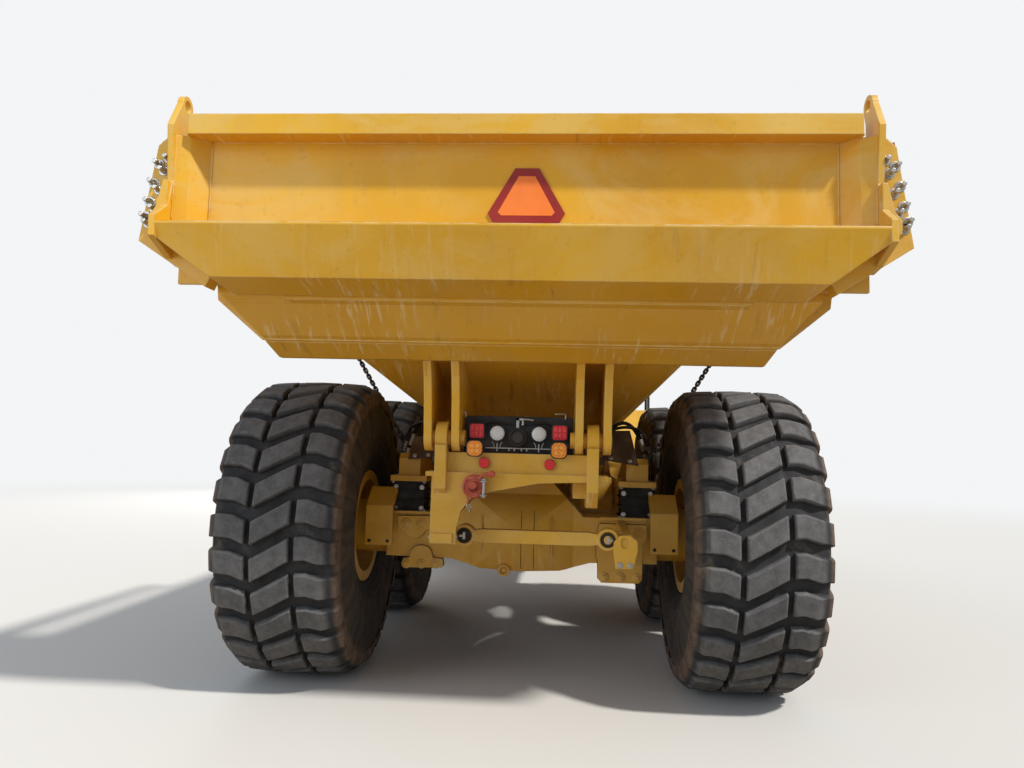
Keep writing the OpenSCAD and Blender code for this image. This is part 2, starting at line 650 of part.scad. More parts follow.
module grille() color([0.10, 0.10, 0.11]) {
  step = (grille_z[1] - grille_z[0]) / slat_count;
  gx = hood_x1 - 90;
  both_sides() box(gx - 25, hood_x1 - 22, grille_y - 40, grille_y - seat, grille_z[0] + seat, grille_z[1] - seat);
  box(gx - 25, gx + 20, -20, 20, grille_z[0] + seat, grille_z[1] - seat);
  for (i = [0 : slat_count - 1])
    side_plate([[gx - 20, grille_z[0] + step * i + 6], [gx + 15, grille_z[0] + step * i + 26],
                [gx + 15, grille_z[0] + step * i + 36], [gx - 20, grille_z[0] + step * i + 16]], 5 - grille_y, grille_y - 5);
}

// Hitch between tractor and rear frame

hitch_z = 1080;
hitch_h = [ear_low[1] + seat, ear_high[0] - seat];
journal_r = 200;
journal_x = [px - 900, px - 330];
tube_r = 290;
shaft_r = 45;
steer_eye_gap = 5;
module hitch() color([0.88, 0.62, 0.13]) difference() {
  union() {
    z_rod(px, 0, 180, hitch_h[0], hitch_h[1]);
    box(px - 300, px, -180, 180, 870, 1290);
    x_rod(0, hitch_z, 260, px - 340, px - 280);
    x_rod(0, hitch_z, journal_r, journal_x[0], px - 300);
    for (z = [steer_z - steer_eye_h / 2 - steer_eye_gap - 30, steer_z + steer_eye_h / 2 + steer_eye_gap])
      intersection() {
        z_rod(px, 0, 370, z, z + 30);
        box(px - 300, px + 300, -370, 370, z, z + 30);
      }
  }
  z_rod(px, 0, king_r + run, hitch_h[0] - 10, ear_low[1] + 100);
  z_rod(px, 0, king_r + run, ear_high[0] - 100, hitch_h[1] + 10);
  x_rod(0, hitch_z, 110, journal_x[0] - 10, px - 200);
}

// Steering cylinders: side is 1 on the left and -1 on the right

steer_stroke = 225;
steer_barrel_end = steer_base[0] - steer_lug[0] - steer_stroke - steer_eye_r - 15;
steer_rod_in = steer_base[0] - 100 - steer_stroke - 5;
module steer_barrels() color([0.15, 0.15, 0.16]) both_sides() difference() {
  union() {
    z_rod(steer_base[0], steer_base[1], steer_eye_r, steer_z - steer_eye_h / 2, steer_z + steer_eye_h / 2);
    x_rod(steer_base[1], steer_z, 21, steer_base[0] - 90, steer_base[0] - 40);
    x_rod(steer_base[1], steer_z, 58, steer_base[0] - steer_barrel_end, steer_base[0] - 80);
  }
  z_rod(steer_base[0], steer_base[1], steer_pin_r + seat, steer_z - steer_eye_h, steer_z + steer_eye_h);
  x_rod(steer_base[1], steer_z, 28 + run, steer_base[0] - steer_barrel_end - 10, steer_base[0] - 100);
}
module steer_rod(side) color([0.80, 0.80, 0.82]) {
  x_rod(side * steer_lug[1], steer_z, 28, steer_lug[0] + 40, steer_rod_in);
  z_rod(steer_lug[0], side * steer_lug[1], steer_eye_r, steer_z - steer_eye_h / 2, steer_z + steer_eye_h / 2);
}

// Rear frame

hx = rx - hinge_back;
rail_in = rail_y - rail_w / 2;
rail_out = rail_y + rail_w / 2;
frame_x0 = rx - 700;
frame_x1 = px - 950;
trunnion_z = 1130;
trunnion_r = 80;
hoist_y = 520;
hoist_eye_half = 55;
hoist_base = [mx + 900, 940];
hoist_top = [mx - 1230, 1530];
hoist_pin_r = 45;
cross_z = [1330, 1440];
panel_x = rx - 690;
module rear_frame() color([0.88, 0.62, 0.13]) {
  rail = [[frame_x0, 1195], [rx + 500, 1195], [bx - 300, 1020], [bx + 300, 1020], [mx - 500, 1195],
          [mx + 450, 1195], [mx + 650, 850], [frame_x1, 850], [frame_x1, rail_top], [frame_x0, rail_top]];
  both_sides() {
    side_plate(rail, rail_in, rail_out);
    // Hinge ears at the tail and the pin each carries
    side_plate([[frame_x0 + 250, rail_top], [hx - 60, hinge_z - 60], [hx - 92, 1480], [hx - 70, 1240], [hx + 20, 1150],
                [frame_x0 + 120, 1150], [frame_x0 + 250, 1200]], ear_y - ear_t / 2, ear_y + ear_t / 2);
    side_plate([[frame_x0 + 250, rail_top - 10], [hx, hinge_z - 90], [hx - 60, hinge_z - 65], [hx, hinge_z],
                [hx + 82, hinge_z]], ear_y - ear_t / 2, ear_y + ear_t / 2);
    y_rod(hx, hinge_z, 90, ear_y - ear_t / 2, ear_y + ear_t / 2);
    y_rod(hx, hinge_z, hinge_pin_r, ear_y - 125, ear_y + 105);
    // Hoist pins
    y_rod(hoist_base[0], hoist_base[1], hoist_pin_r, rail_out - 5, hoist_y + 95);
    y_rod(hoist_base[0], hoist_base[1], 90, rail_out - 5, hoist_y - 95);
    // Trunnions of the walking beams, and the chain's lug on the end of each
    y_rod(bx, trunnion_z, trunnion_r, rail_out - 5, beam_y + 130);
    y_rod(bx, trunnion_z, 130, rail_out - 5, beam_y - beam_w / 2 - 20);
    side_plate([[bx - 60, 1060], [bx + 60, 1060], [bx + 60, 1200], [bx + 30, 1390], [bx - 30, 1390], [bx - 60, 1200]],
               beam_y + 130, beam_y + 155);
    // Bed rests
    for (x = [rx + 860, mx + 600]) box(x - 100, x + 100, rail_in, rail_out, rail_top - 5, floor_z - seat);
  }
  for (x = [bx - 60, mx + 950]) box(x, x + 120, -rail_in, rail_in, 1250, 1400);
  // Rear cross beam, its flange and the plate that carries the rod and the tow pin
  box(hx - 10, frame_x0 + 60, -ear_y + ear_t / 2 - 5, ear_y - ear_t / 2 + 5, cross_z[0], cross_z[1]);
  box(hx - 40, frame_x0 + 60, -505, 505, cross_z[0] - 25, cross_z[0]);
  cross_plate([[470, 1330], [-505, 1330], [-505, 1298], [-125, 1280], [150, 1225], [240, 1190], [300, 1120],
               [325, 1020], [325, 935], [470, 935]], hx - 40, hx - 15);
  box(hx - 16, rod_x + 40, 362, 470, 935, 1010);
  x_rod(rod_end[0], rod_z, rod_pin_r, rod_x - 45, rod_x + 75);
  box(rod_x + 45, rod_x + 75, rod_end[0] - 30, 400, rod_z - 30, rod_z + 30);
  box(rod_x + 20, rod_x + 75, 363, 469, 936, 1009);
  // Front housing round the hitch's journal
  difference() {
    union() {
      x_rod(0, hitch_z, tube_r, px - 950, px - 350);
      box(px - 1100, px - 940, -rail_out, rail_out, 820, 1400);
    }
    x_rod(0, hitch_z, journal_r + run, px - 910, px - 340);
    x_rod(0, hitch_z, 120, px - 1110, px - 900);
  }
}

rod_x = rx - 620;
rod_z = 965;
rod_end = [300, -520];
rod_r = 34;
rod_eye_r = 56;
rod_pin_r = 24;
apex_r = 60;
module lateral_rod() {
  difference() {
    union() {
      bar([rod_x, rod_end[0], rod_z], [rod_x, rod_end[1], rod_z], rod_r);
      for (y = rod_end) x_rod(y, rod_z, rod_eye_r, rod_x - 35, rod_x + 35);
    }
    for (y = rod_end) x_rod(y, rod_z, rod_pin_r + run, rod_x - 50, rod_x + 50);
  }
}
// The legs of a thrust frame, from under an axle to the bogie's centre
module thrust_frame(x) {
  dir = x < bx ? 1 : -1;
  apex = [x + dir * 230, 0, axle_z - 236.5];
  translate(apex) sphere(r = apex_r);
  both_sides() bar(apex, [bx - dir * 170, 290, 820], 38);
  y_rod(bx - dir * 170, 820, 60, -350, 350);
}
module axle_links() color([0.88, 0.62, 0.13]) {
  lateral_rod();
  thrust_frame(rx);
  thrust_frame(mx);
  // Hangers under the rails for the thrust frames
  both_sides() side_plate([[bx - 230, 770], [bx + 230, 770], [bx + 230, 1020 - seat], [bx - 230, 1020 - seat]],
                          rail_in + 20, rail_in + 50);
}

// Bracket on the axle for the far end of its lateral rod
module rod_bracket() {
  x = rod_x - rx;
  z = rod_z - axle_z;
  side_plate([[-110, -130], [-110, 100], [x - 50, z + 30], [x - 50, z - 120], [x, z - 160], [-300, -165]], -655, -605);
  difference() {
    cross_plate([[-662, -127], [-562, -127], [-550, -40], [-552, 20], [-585, 56], [-640, 60], [-682, 30], [-688, -20]],
                x - 66, x - 38);
    for (h = [8, 22]) x_rod(-614, h, 22, x - 70, x - 52);
  }
  x_rod(rod_end[1], z, rod_pin_r, x - 50, x + 80);
  box(x + 40, x + 80, -610, rod_end[1] + 30, z - 40, z + 40);
}

module rear_axle() color([0.86, 0.60, 0.12]) translate([rx, 0, axle_z]) {
  axle_housing();
  both_sides() caliper_guard();
  rod_bracket();
}
module mid_axle() color([0.86, 0.60, 0.12]) translate([mx, 0, axle_z]) {
  rotate([0, 0, 180]) {
    axle_housing();
    both_sides() caliper_guard();
  }
  x_rod(0, 120, 85, 140, 400);
}

module walking_beams() color([0.88, 0.62, 0.13]) both_sides() difference() {
  union() {
    side_plate([[rx - 115, 1271], [rx + 120, 1271], [bx - 320, 1010], [bx + 320, 1010], [mx - 120, 1271], [mx + 115, 1271],
                [mx + 115, 1385], [mx + 80, 1420], [mx - 130, 1420], [bx + 350, 1260], [bx - 350, 1260], [rx + 130, 1420],
                [rx - 80, 1420], [rx - 115, 1385]], beam_y - beam_w / 2, beam_y + beam_w / 2);
    for (x = [rx, mx])
      box(x - 140, x + 140, beam_y - mount_w / 2 - 8, beam_y + mount_w / 2 + 8, axle_z + saddle_h + mount_h + 2 * seat, 1275);
  }
  y_rod(bx, trunnion_z, trunnion_r + run, beam_y - beam_w, beam_y + beam_w);
}

module rubber_mounts() color([0.07, 0.07, 0.07]) for (x = [rx, mx]) both_sides() {
  z0 = axle_z + saddle_h + seat;
  for (i = [0 : 2])
    box(x - 105, x + 105, beam_y - mount_w / 2 + 12, beam_y + mount_w / 2 - 12, z0 + i * mount_h / 3, z0 + (i + 1) * mount_h / 3);
  for (i = [0 : 3])
    box(x - 118, x + 118, beam_y - mount_w / 2, beam_y + mount_w / 2,
        z0 + i * (mount_h - 8) / 3, z0 + i * (mount_h - 8) / 3 + 8);
}

module rear_driveline() color([0.30, 0.27, 0.20]) {
  // Through the hitch to the middle axle, then on to the rear axle
  bar([px - 205, 0, hitch_z], [mx + 960, 0, hitch_z], shaft_r);
  x_rod(0, hitch_z, 100, mx + 900, mx + 960);
  x_rod(0, hitch_z, 120 - seat, px - 1095, px - 950);
  bar([mx + 900, 0, hitch_z], [mx + 412, 0, axle_z + 120], shaft_r);
  bar([rx + 360 + seat, 0, axle_z], [mx - 360 - seat, 0, axle_z], shaft_r - 3);
}

module rear_lamps() color([0.12, 0.12, 0.13]) {
  box(panel_x - 20, panel_x, -310, 310, cross_z[1] + seat, 1650);
  both_sides() {
    box(panel_x - 55, panel_x - 15, 195, 275, 1520, 1605);
    x_rod(232, 1464, 35, hx - 55, hx - 10 - seat);
    box(hx - 30, panel_x - 15, 218, 246, cross_z[1] + 5, 1490);
    x_rod(118, 1552, 40, panel_x - 60, panel_x - 15);
    x_rod(182, 1385, 28, hx - 10 - 14, hx - 10 - seat);
  }
  x_rod(0, 1530, 48, panel_x - 80, panel_x - 15);
}

module tow_pin() color([0.75, 0.12, 0.08]) {
  x_rod(232, 1262, 60, hx - 75, hx - 40 - seat);
  x_rod(232, 1262, 22, hx - 120, hx - 70);
}

// Hoist cylinders: both sides tip together

hoist_dir = hoist_top - hoist_base;
hoist_len = norm(hoist_dir);
hoist_barrel_end = hoist_len - 150;
hoist_rod_in = 150;
module along_hoist() {
  translate([hoist_base[0], hoist_y, hoist_base[1]]) rotate([0, atan2(hoist_dir[0], hoist_dir[1]), 0]) children();
}
module hoist_barrels() color([0.88, 0.62, 0.13]) both_sides() difference() {
  union() {
    y_rod(hoist_base[0], hoist_base[1], 80, hoist_y - hoist_eye_half, hoist_y + hoist_eye_half);
    along_hoist() translate([0, 0, 60]) cylinder(h = hoist_barrel_end - 60, r = 85);
  }
  y_rod(hoist_base[0], hoist_base[1], hoist_pin_r + run, hoist_y - 100, hoist_y + 100);
  along_hoist() translate([0, 0, 130]) cylinder(h = hoist_len, r = 55 + run);
}
module hoist_rods() color([0.80, 0.80, 0.82]) both_sides() {
  along_hoist() translate([0, 0, hoist_rod_in]) cylinder(h = hoist_len - 40 - hoist_rod_in, r = 55);
  y_rod(hoist_top[0], hoist_top[1], 72, hoist_y - hoist_eye_half, hoist_y + hoist_eye_half);
}

// Bed

bed_nose_x = px - 250;
bed_nose_back = 450;
tail_x = rx - 1440;
bend_x = rx + tail_bend;
knee_half = floor_half + chamfer_rise;
knee_z = floor_z + chamfer_rise;
top_half = knee_half + side_flare;
flare = side_flare / (side_top - knee_z);
function bed_cross(top) = [
  [-floor_half, floor_z], [floor_half, floor_z], [knee_half, knee_z], [knee_half + flare * (top - knee_z), top],
  [-knee_half - flare * (top - knee_z), top], [-knee_half, knee_z]];
tail_slope = (tail_z - floor_z) / (bend_x - tail_x);
// The bed from the side: up to side_top along the leaning front, then straight up
function bed_side(back, top) = [
  [back, floor_z + tail_slope * (bend_x - back)], [bend_x, floor_z], [bed_nose_x - bed_nose_back, floor_z],
  [bed_nose_x, side_top], [bed_nose_x, top], [back, top]];
function under(x) = floor_z + tail_slope * (bend_x - x);
// The bed from behind with its chamfers run on below the floor
function bed_wide(top) = [
  [-floor_half + 100, floor_z - 100], [floor_half - 100, floor_z - 100], [knee_half, knee_z],
  [knee_half + flare * (top - knee_z), top], [-knee_half - flare * (top - knee_z), top], [-knee_half, knee_z]];
// Half outline of the tail's frame from behind, and the line of its underside from the lip forwards
hoop = [[1304, tail_z - 177], [1455, tail_z + 20], [1560, 2450], [1600, 2900], [1600, side_top]];
hoop_l = 260;
flange_t = 30;
tail_under = [[tail_x, tail_z + 20], [tail_x + 200, tail_z - 150], [tail_x + 400, tail_z - 240]];
// Space below the tail's floor, above it, and beside the trough
module below_tail(up = -seat, far = floor_z)
  side_plate([[tail_x - 10, under(tail_x - 10) + up], [tail_x + 300, under(tail_x + 300) + up], [tail_x + 300, far],
              [tail_x - 10, far]], -1700, 1700);
module beside(low, high, y_low, y_high)
  both_sides() cross_plate([[y_low + 1.5 * seat, low], [2000, low], [2000, high], [y_high + 1.5 * seat, high]],
                           tail_x - 10, tail_x + 300);
// The frame round the tail: a bar under the floor, two beside the chamfers and two beside the walls
module tail_bar() intersection() {
  cross_plate(mirrored(hoop), tail_x, tail_x + hoop_l - flange_t - seat);
  side_plate([[tail_x, side_top], tail_under[0], tail_under[1], [tail_x + hoop_l, tail_z - 177], [tail_x + hoop_l, 2500],
              [tail_x + 200, side_top]], -1700, 1700);
  children();
}
// Flange where the frame meets the sides
module tail_flange() intersection() {
  cross_plate(mirrored([[1325, tail_z - 170], [1572, tail_z + 35], [1594, knee_z]]), tail_x + hoop_l - flange_t,
              tail_x + hoop_l);
  children();
}
module tail_frame() {
  tail_bar() below_tail();
  tail_flange() below_tail();
  tail_bar() intersection() {
    below_tail(seat, side_top);
    beside(floor_z, knee_z, floor_half, knee_half);
  }
  tail_flange() intersection() {
    below_tail(seat, side_top);
    beside(floor_z, knee_z, floor_half, knee_half);
  }
  tail_bar() beside(knee_z + 2 * seat, side_top, knee_half, top_half);
}

// The trough's plates are straight and convex, and each is a hair apart from the next
module trough_wall(i) {
  near = bed_wide(side_top + 300);
  far = inset(near, plate_t);
  j = (i + 1) % 6;
  along = unit(near[j] - near[i]) * seat;
  side = bed_side(tail_x, side_top);
  intersection() {
    cross_plate([near[i] + along, near[j] - along, far[j] - along, far[i] + along], tail_x, bed_nose_x);
    side_plate([side[0], side[1], side[2], side[3], side[5]], -top_half - 10, top_half + 10);
  }
}
module trough_floor(i) {
  near = bed_side(tail_x - 400, side_top + 300);
  far = inset(near, plate_t);
  along = unit(near[i + 1] - near[i]) * seat;
  intersection() {
    side_plate([near[i] + along, far[i] + along, far[i + 1] - along, near[i + 1] - along], -top_half, top_half);
    cross_plate(inset(bed_wide(side_top + 300), plate_t + seat), tail_x, bed_nose_x);
    box(tail_x, bed_nose_x, -top_half, top_half, 0, side_top);
  }
}
rail_h = 110;
rail_reach = 60;
stay_l = 860;
module bed_shell() color([0.90, 0.64, 0.12]) {
  for (i = [1, 2, 4, 5]) trough_wall(i);
  for (i = [0 : 2]) trough_floor(i);
  tail_frame();
  // Top rails
  both_sides() cross_plate([[top_half - flare * rail_h + seat, side_top - rail_h], [top_half + rail_reach, side_top - rail_h],
                            [top_half + rail_reach, side_top], [top_half + seat, side_top]],
                           tail_x + hoop_l + seat, bed_nose_x - 120);
  // Headboard
  cross_plate(mirrored([[top_half, side_top + seat], [top_half - 40, headboard_top - 160], [top_half - 240, headboard_top]]),
              bed_nose_x - plate_t, bed_nose_x);
  // Its stays, down the leaning front
  for (y = [-1000, -360, 360, 1000]) {
    side_plate([[bed_nose_x - bed_nose_back * stay_l / (side_top - floor_z) + seat, side_top - stay_l],
                [bed_nose_x + seat, side_top], [bed_nose_x + 60, side_top]], y - 15, y + 15);
    side_plate([[bed_nose_x + seat, side_top + seat], [bed_nose_x + seat, headboard_top - 60],
                [bed_nose_x + 20, headboard_top - 60], [bed_nose_x + 60, side_top + seat]], y - 15, y + 15);
  }
}

rib_x = [for (i = [0 : 3]) bx + 65 + i * 826];
rib_t = 60;
rib_depth = 60;
// A strap round the trough: straight bars, each a hair apart from the next at the mitre
module strap(x) {
  near = inset(bed_cross(side_top - 50), -seat);
  far = inset(bed_cross(side_top - 50), -rib_depth);
  intersection() {
    for (i = [0, 1, 2, 4, 5])
      let (j = (i + 1) % 6, along = unit(near[j] - near[i]) * seat)
      cross_plate([near[i] + along, far[i] + along, far[j] - along, near[j] - along], x, x + rib_t);
    box(x - 1, x + rib_t + 1, -2000, 2000, floor_z - rib_depth, side_top - rail_h - seat);
  }
}
module bed_ribs() color([0.90, 0.64, 0.12]) {
  for (x = rib_x) strap(x);
  bed_fittings();
}
hinge_rib_gap = 77;
hinge_rib_t = 44;
module bed_fittings() difference() {
  union() {
    // Bolster under the tail
    intersection() {
      cross_plate(mirrored([[1285, tail_z - 260], [1325, tail_z - 150], [1400, tail_z - 20]]), tail_x, rx);
      side_plate([[tail_x + hoop_l + seat, floor_z + tail_slope * (bend_x - tail_x - hoop_l) - 1],
                  [tail_x + hoop_l + seat, tail_z - 150 - (hoop_l - 200) * 0.45], tail_under[2],
                  tail_under[2] + [50, 0], [tail_x + 560, floor_z + tail_slope * (bend_x - tail_x - 560) - 1]], -1500, 1500);
    }
    // Hinge ribs
    both_sides() for (y = [ear_y - hinge_rib_gap, ear_y + hinge_rib_gap]) {
      side_plate([[rx - 978, 2050], [rx - 985, 1925], [rx - 940, 1850], [rx - 905, 1720], [hx - 74, hinge_z],
                  [hx, hinge_z - 74], [hx + 74, hinge_z], [rx - 250, 1640], [rx + 200, 1560], [rx + 260, 1700]], y - hinge_rib_t / 2, y + hinge_rib_t / 2);
      y_rod(hx, hinge_z, 75, y - hinge_rib_t / 2, y + hinge_rib_t / 2);
    }
    // Hoist lugs
    both_sides() for (y = [hoist_y - hoist_eye_half - 30, hoist_y + hoist_eye_half + 5]) {
      y_rod(hoist_top[0], hoist_top[1], 80, y, y + 25);
      side_plate([[hoist_top[0] - 80, hoist_top[1]], [hoist_top[0] + 80, hoist_top[1]], [hoist_top[0] + 120, floor_z + 100],
                  [hoist_top[0] - 120, floor_z + 100]], y, y + 25);
    }
    // Gate pivots on the top rails
    both_sides() {
      y_rod(rx - gate_pivot_x, gate_pivot_z, 45, top_half - 40, arm_out - 5);
      side_plate([[rx - gate_pivot_x - 160, side_top - 400], [rx - gate_pivot_x + 160, side_top - 400],
                  [rx - gate_pivot_x + 80, gate_pivot_z + 70], [rx - gate_pivot_x - 80, gate_pivot_z + 70]],
                 top_half + 60 + seat, arm_out - arm_t - 40);
    }
  }
  // The trough itself, the top rails, the pin bores and the space inside
  intersection() {
    cross_plate(inset(bed_cross(side_top + 400), -seat), tail_x - 200, bed_nose_x);
    side_plate(inset(bed_side(tail_x - 200, side_top + 400), -seat), -top_half - 300, top_half + 300);
  }
  both_sides() {
    box(tail_x + 150, bed_nose_x - 120, top_half - 300, top_half + rail_reach + seat, side_top - rail_h - seat,
        side_top + 200);
    y_rod(hx, hinge_z, hinge_pin_r + run, 300, 540);
    box(tail_x - 10, tail_x + hoop_l + seat, 1000, 1600 + seat, tail_z, side_top + 100);
  }
}

// Tailgate, its arms and chains

gate_x = tail_x - 6;
gate_back = rx - tail_overhang;
lift_eye_r = 30;
lift_eye = [gate_x - 30, gate_top + 80];
cheek_t = 30;
cheek_out = gate_half + cheek_t;
arm_y = [cheek_out + arm_stand, cheek_out + arm_stand + arm_t];
arm_out = arm_y[1];
// What leans off the arms' outer corner, which narrows towards the rear and the top
module corner_cut() {
  translate([gate_x - 100, cheek_out + 70, gate_top - 145])
    rotate([8.5, 0, 0]) rotate([0, 0, 23]) translate([-200, 0, -700]) cube([800, 400, 900]);
}
module tailgate() color([0.90, 0.64, 0.12]) {
  box(gate_x - 25, gate_x, -gate_half, gate_half, tail_z + 65, gate_top - 90);
  box(gate_x - 140, gate_x, -gate_half + 60, gate_half - 60, gate_top - 100, gate_top);
  intersection() {
    side_plate([[gate_x, tail_z + 18], [gate_x, ledge_z], [gate_x - 60, ledge_z - 20], [gate_back + 14, ledge_z - 14],
                [gate_back, ledge_z], [gate_back, ledge_z - 12], [gate_back + 80, tail_z + 66], [gate_x - 20, tail_z + 17]],
               -gate_half, gate_half);
    cross_plate(mirrored([[gate_half - 295, tail_z + 10], [gate_half - 235, tail_z + 62], [gate_half, tail_z + 235],
                          [gate_half, ledge_z + 10]]), gate_back - 10, gate_x + 10);
  }
  both_sides() difference() {
    union() {
      // Cheek with its lifting eye
      side_plate([[gate_x, tail_z + 155], [gate_x, gate_top], [lift_eye[0] + 52, lift_eye[1]], [lift_eye[0] - 52, lift_eye[1]],
                  [gate_x - 160, gate_top - 60], [gate_x - 130, ledge_z + 240], [gate_x - 160, ledge_z + 110], [gate_back, ledge_z + 30],
                  [gate_back, ledge_z - 70], [gate_x - 100, tail_z + 170]], gate_half, cheek_out);
      y_rod(lift_eye[0], lift_eye[1], 52, gate_half, cheek_out);
      // Its foot spreads out over the ledge's end
      cross_plate([[gate_half + 5, ledge_z - 60], [gate_half + 88, ledge_z - 5], [gate_half + 90, ledge_z + 55],
                   [gate_half + 58, ledge_z + 95], [cheek_out - 1, ledge_z + 230], [gate_half + 5, ledge_z + 230]],
                  gate_x - 172, gate_x - 100 - seat);
      // Wedge under the cheek, out to the arm
      cross_plate([[gate_half - 175, tail_z + 36], [arm_out, ledge_z - 20], [arm_out, ledge_z + 30], [gate_half - 60, ledge_z + 30],
                   [gate_half - 220, tail_z + 130]], gate_x - 100, gate_x);
      // Post of two facets beside the panel
      translate([0, 0, ledge_z - 25]) linear_extrude(gate_top - 75 - ledge_z) polygon([
        [gate_x - 20, gate_half + 5], [gate_x - 125, gate_half + 5], [gate_x - 98, gate_half - 62], [gate_x - 20, gate_half - 135]]);
    }
    y_rod(lift_eye[0], lift_eye[1], lift_eye_r, gate_half - 10, cheek_out + 10);
    corner_cut();
  }
}

// Blank triangular plate on the panel, with a raised rim
sign_z = [2548, 2822];
sign_half = 186;
module slow_sign() color([0.95, 0.35, 0.10]) translate([gate_x - 25 - seat, -50, 0]) difference() {
  cross_plate(mirrored([[sign_half - 29, sign_z[0]], [sign_half, sign_z[0] + 52], [58, sign_z[1]]]), -8, 0);
  cross_plate(mirrored([[sign_half - 54, sign_z[0] + 38], [38, sign_z[1] - 38]]), -9, -5);
}

chain_top = [bx + 120, arm_out - arm_t / 2, 2850];
fork_t = 12;
module tailgate_arms() color([0.90, 0.64, 0.12]) both_sides() {
  gx = rx - gate_pivot_x;
  difference() {
    union() {
      side_plate([[gate_x - 100, ledge_z + 30 + seat], [gate_x + 40, ledge_z + 30 + seat], [gx + 160, 2800], [chain_top[0] - 60, 2815],
                  [chain_top[0] - 60, 2885], [gx + 260, 3010], [gx + 60, 3050], [gx - 60, 3050], [gate_x - 100, 2940]],
                 arm_y[0], arm_y[1]);
      y_rod(gx, gate_pivot_z, 105, arm_y[0] - 8, arm_y[1]);
      // Bolted flange against the cheek
      cross_plate([[cheek_out + seat, ledge_z + 30 + seat], [arm_out, ledge_z + 30 + seat], [arm_out, gate_top - 145],
                   [cheek_out + 70, gate_top - 145], [cheek_out + seat, gate_top - 80]], gate_x - 100, gate_x - 20);
    }
    y_rod(gx, gate_pivot_z, 45 + run, arm_y[0] - 20, arm_y[1] + 10);
    corner_cut();
  }
  // Fork and pin of the chain
  for (y = [arm_y[0], arm_y[1] - fork_t]) {
    box(chain_top[0] - 70, chain_top[0], y, y + fork_t, chain_top[2] - 18, chain_top[2] + 18);
    y_rod(chain_top[0], chain_top[2], 18, y, y + fork_t);
  }
  y_rod(chain_top[0], chain_top[2], 4.5, arm_y[0] + 5, arm_y[1] - 5);
}

// Flat chain links, turned a quarter each time, from the arm's fork to the frame's lug
chain_low = [bx, beam_y + 155 + 18.5, 1350];
link_w = 36;
link_pitch = link_in - 4.4;
module link() {
  half = link_in / 2 - (link_w - 2 * link_d) / 2;
  translate([0, 0, -link_d / 2]) linear_extrude(link_d) difference() {
    union() {
      for (s = [1, -1]) translate([s * half, 0]) circle(d = link_w);
      square([2 * half, link_w], center = true);
    }
    for (s = [1, -1]) translate([s * half, 0]) circle(d = link_w - 2 * link_d);
    square([2 * half, link_w - 2 * link_d], center = true);
  }
}
module chains() color([0.10, 0.10, 0.10]) both_sides() {
  d = chain_low - chain_top;
  count = floor((norm(d) + 12) / link_pitch);
  translate(chain_top) rotate([0, acos(d[2] / norm(d)), atan2(d[1], d[0])]) rotate([0, -90, 0])
    for (i = [0 : count - 1]) translate([i * link_pitch + 7.5, 0, 0]) rotate([i % 2 * 90, 0, 0]) link();
}

front_frame();
front_bumper();
engine();
radiator();
front_driveline();
front_axle();
front_struts();
front_fenders();
cab_shell();
cab_glass();
cab_controls();
driver_seat();
cab_steps();
handrails();
side_tanks();
exhaust_stack();
air_cleaner();
mirrors();
front_lamps();
hood();
grille();
cab_door();
door_glass();
hitch();
steer_barrels();
steer_rod(1);  // steer_rod_left
steer_rod(-1);  // steer_rod_right
rear_frame();
mid_axle();
rear_axle();
walking_beams();
rubber_mounts();
axle_links();
rear_driveline();
rear_lamps();
tow_pin();
hoist_barrels();
hoist_rods();
bed_shell();
bed_ribs();
tailgate();
tailgate_arms();
slow_sign();
chains();
at_wheel(fx, 1) tyre();  // tyre_front_left
rim_at(fx, 1);  // rim_front_left
at_wheel(fx, -1) tyre();  // tyre_front_right
rim_at(fx, -1);  // rim_front_right
at_wheel(mx, 1) tyre();  // tyre_mid_left
rim_at(mx, 1);  // rim_mid_left
at_wheel(mx, -1) tyre();  // tyre_mid_right
rim_at(mx, -1);  // rim_mid_right
at_wheel(rx, 1) tyre();  // tyre_rear_left
rim_at(rx, 1);  // rim_rear_left
at_wheel(rx, -1) tyre();  // tyre_rear_right
rim_at(rx, -1);  // rim_rear_right
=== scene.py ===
"""Looks for the articulated dump truck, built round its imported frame.

Metres, +X forward, +Y left, +Z up. Stations repeat those of the part's source.
"""
import json
import random
from math import cos, exp, pi, radians, sin, sqrt

import bmesh
import bpy
from mathutils import Matrix, Vector
from mathutils.bvhtree import BVHTree

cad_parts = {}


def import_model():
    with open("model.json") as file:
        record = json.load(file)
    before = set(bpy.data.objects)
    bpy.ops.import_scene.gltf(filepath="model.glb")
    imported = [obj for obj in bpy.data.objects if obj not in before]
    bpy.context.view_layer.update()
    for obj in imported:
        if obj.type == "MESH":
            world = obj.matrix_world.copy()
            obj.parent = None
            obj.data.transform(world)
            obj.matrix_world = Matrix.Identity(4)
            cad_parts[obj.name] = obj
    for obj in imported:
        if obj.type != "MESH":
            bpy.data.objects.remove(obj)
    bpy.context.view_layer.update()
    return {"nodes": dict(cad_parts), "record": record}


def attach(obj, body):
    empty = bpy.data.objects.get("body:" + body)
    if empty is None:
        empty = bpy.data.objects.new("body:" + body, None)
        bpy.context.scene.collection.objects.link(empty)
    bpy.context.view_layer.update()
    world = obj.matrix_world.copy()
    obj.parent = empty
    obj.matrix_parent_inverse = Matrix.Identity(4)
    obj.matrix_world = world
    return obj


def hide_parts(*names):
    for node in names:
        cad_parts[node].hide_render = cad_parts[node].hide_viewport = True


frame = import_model()
NODES = frame["nodes"]

# Stations
AXLES = {"front": 2.398, "mid": -1.842, "rear": -3.808}
MX, RX = AXLES["mid"], AXLES["rear"]
AXLE_Z, WHEEL_Y = 0.9375, 1.345
GATE_X = RX - 1.446
GATE_BACK = RX - 1.72
BEAM_Y = 0.735
HINGE_X = RX - 0.8
PANEL_X = RX - 0.69
FAR = 3  # where a line of sight starts beside the truck

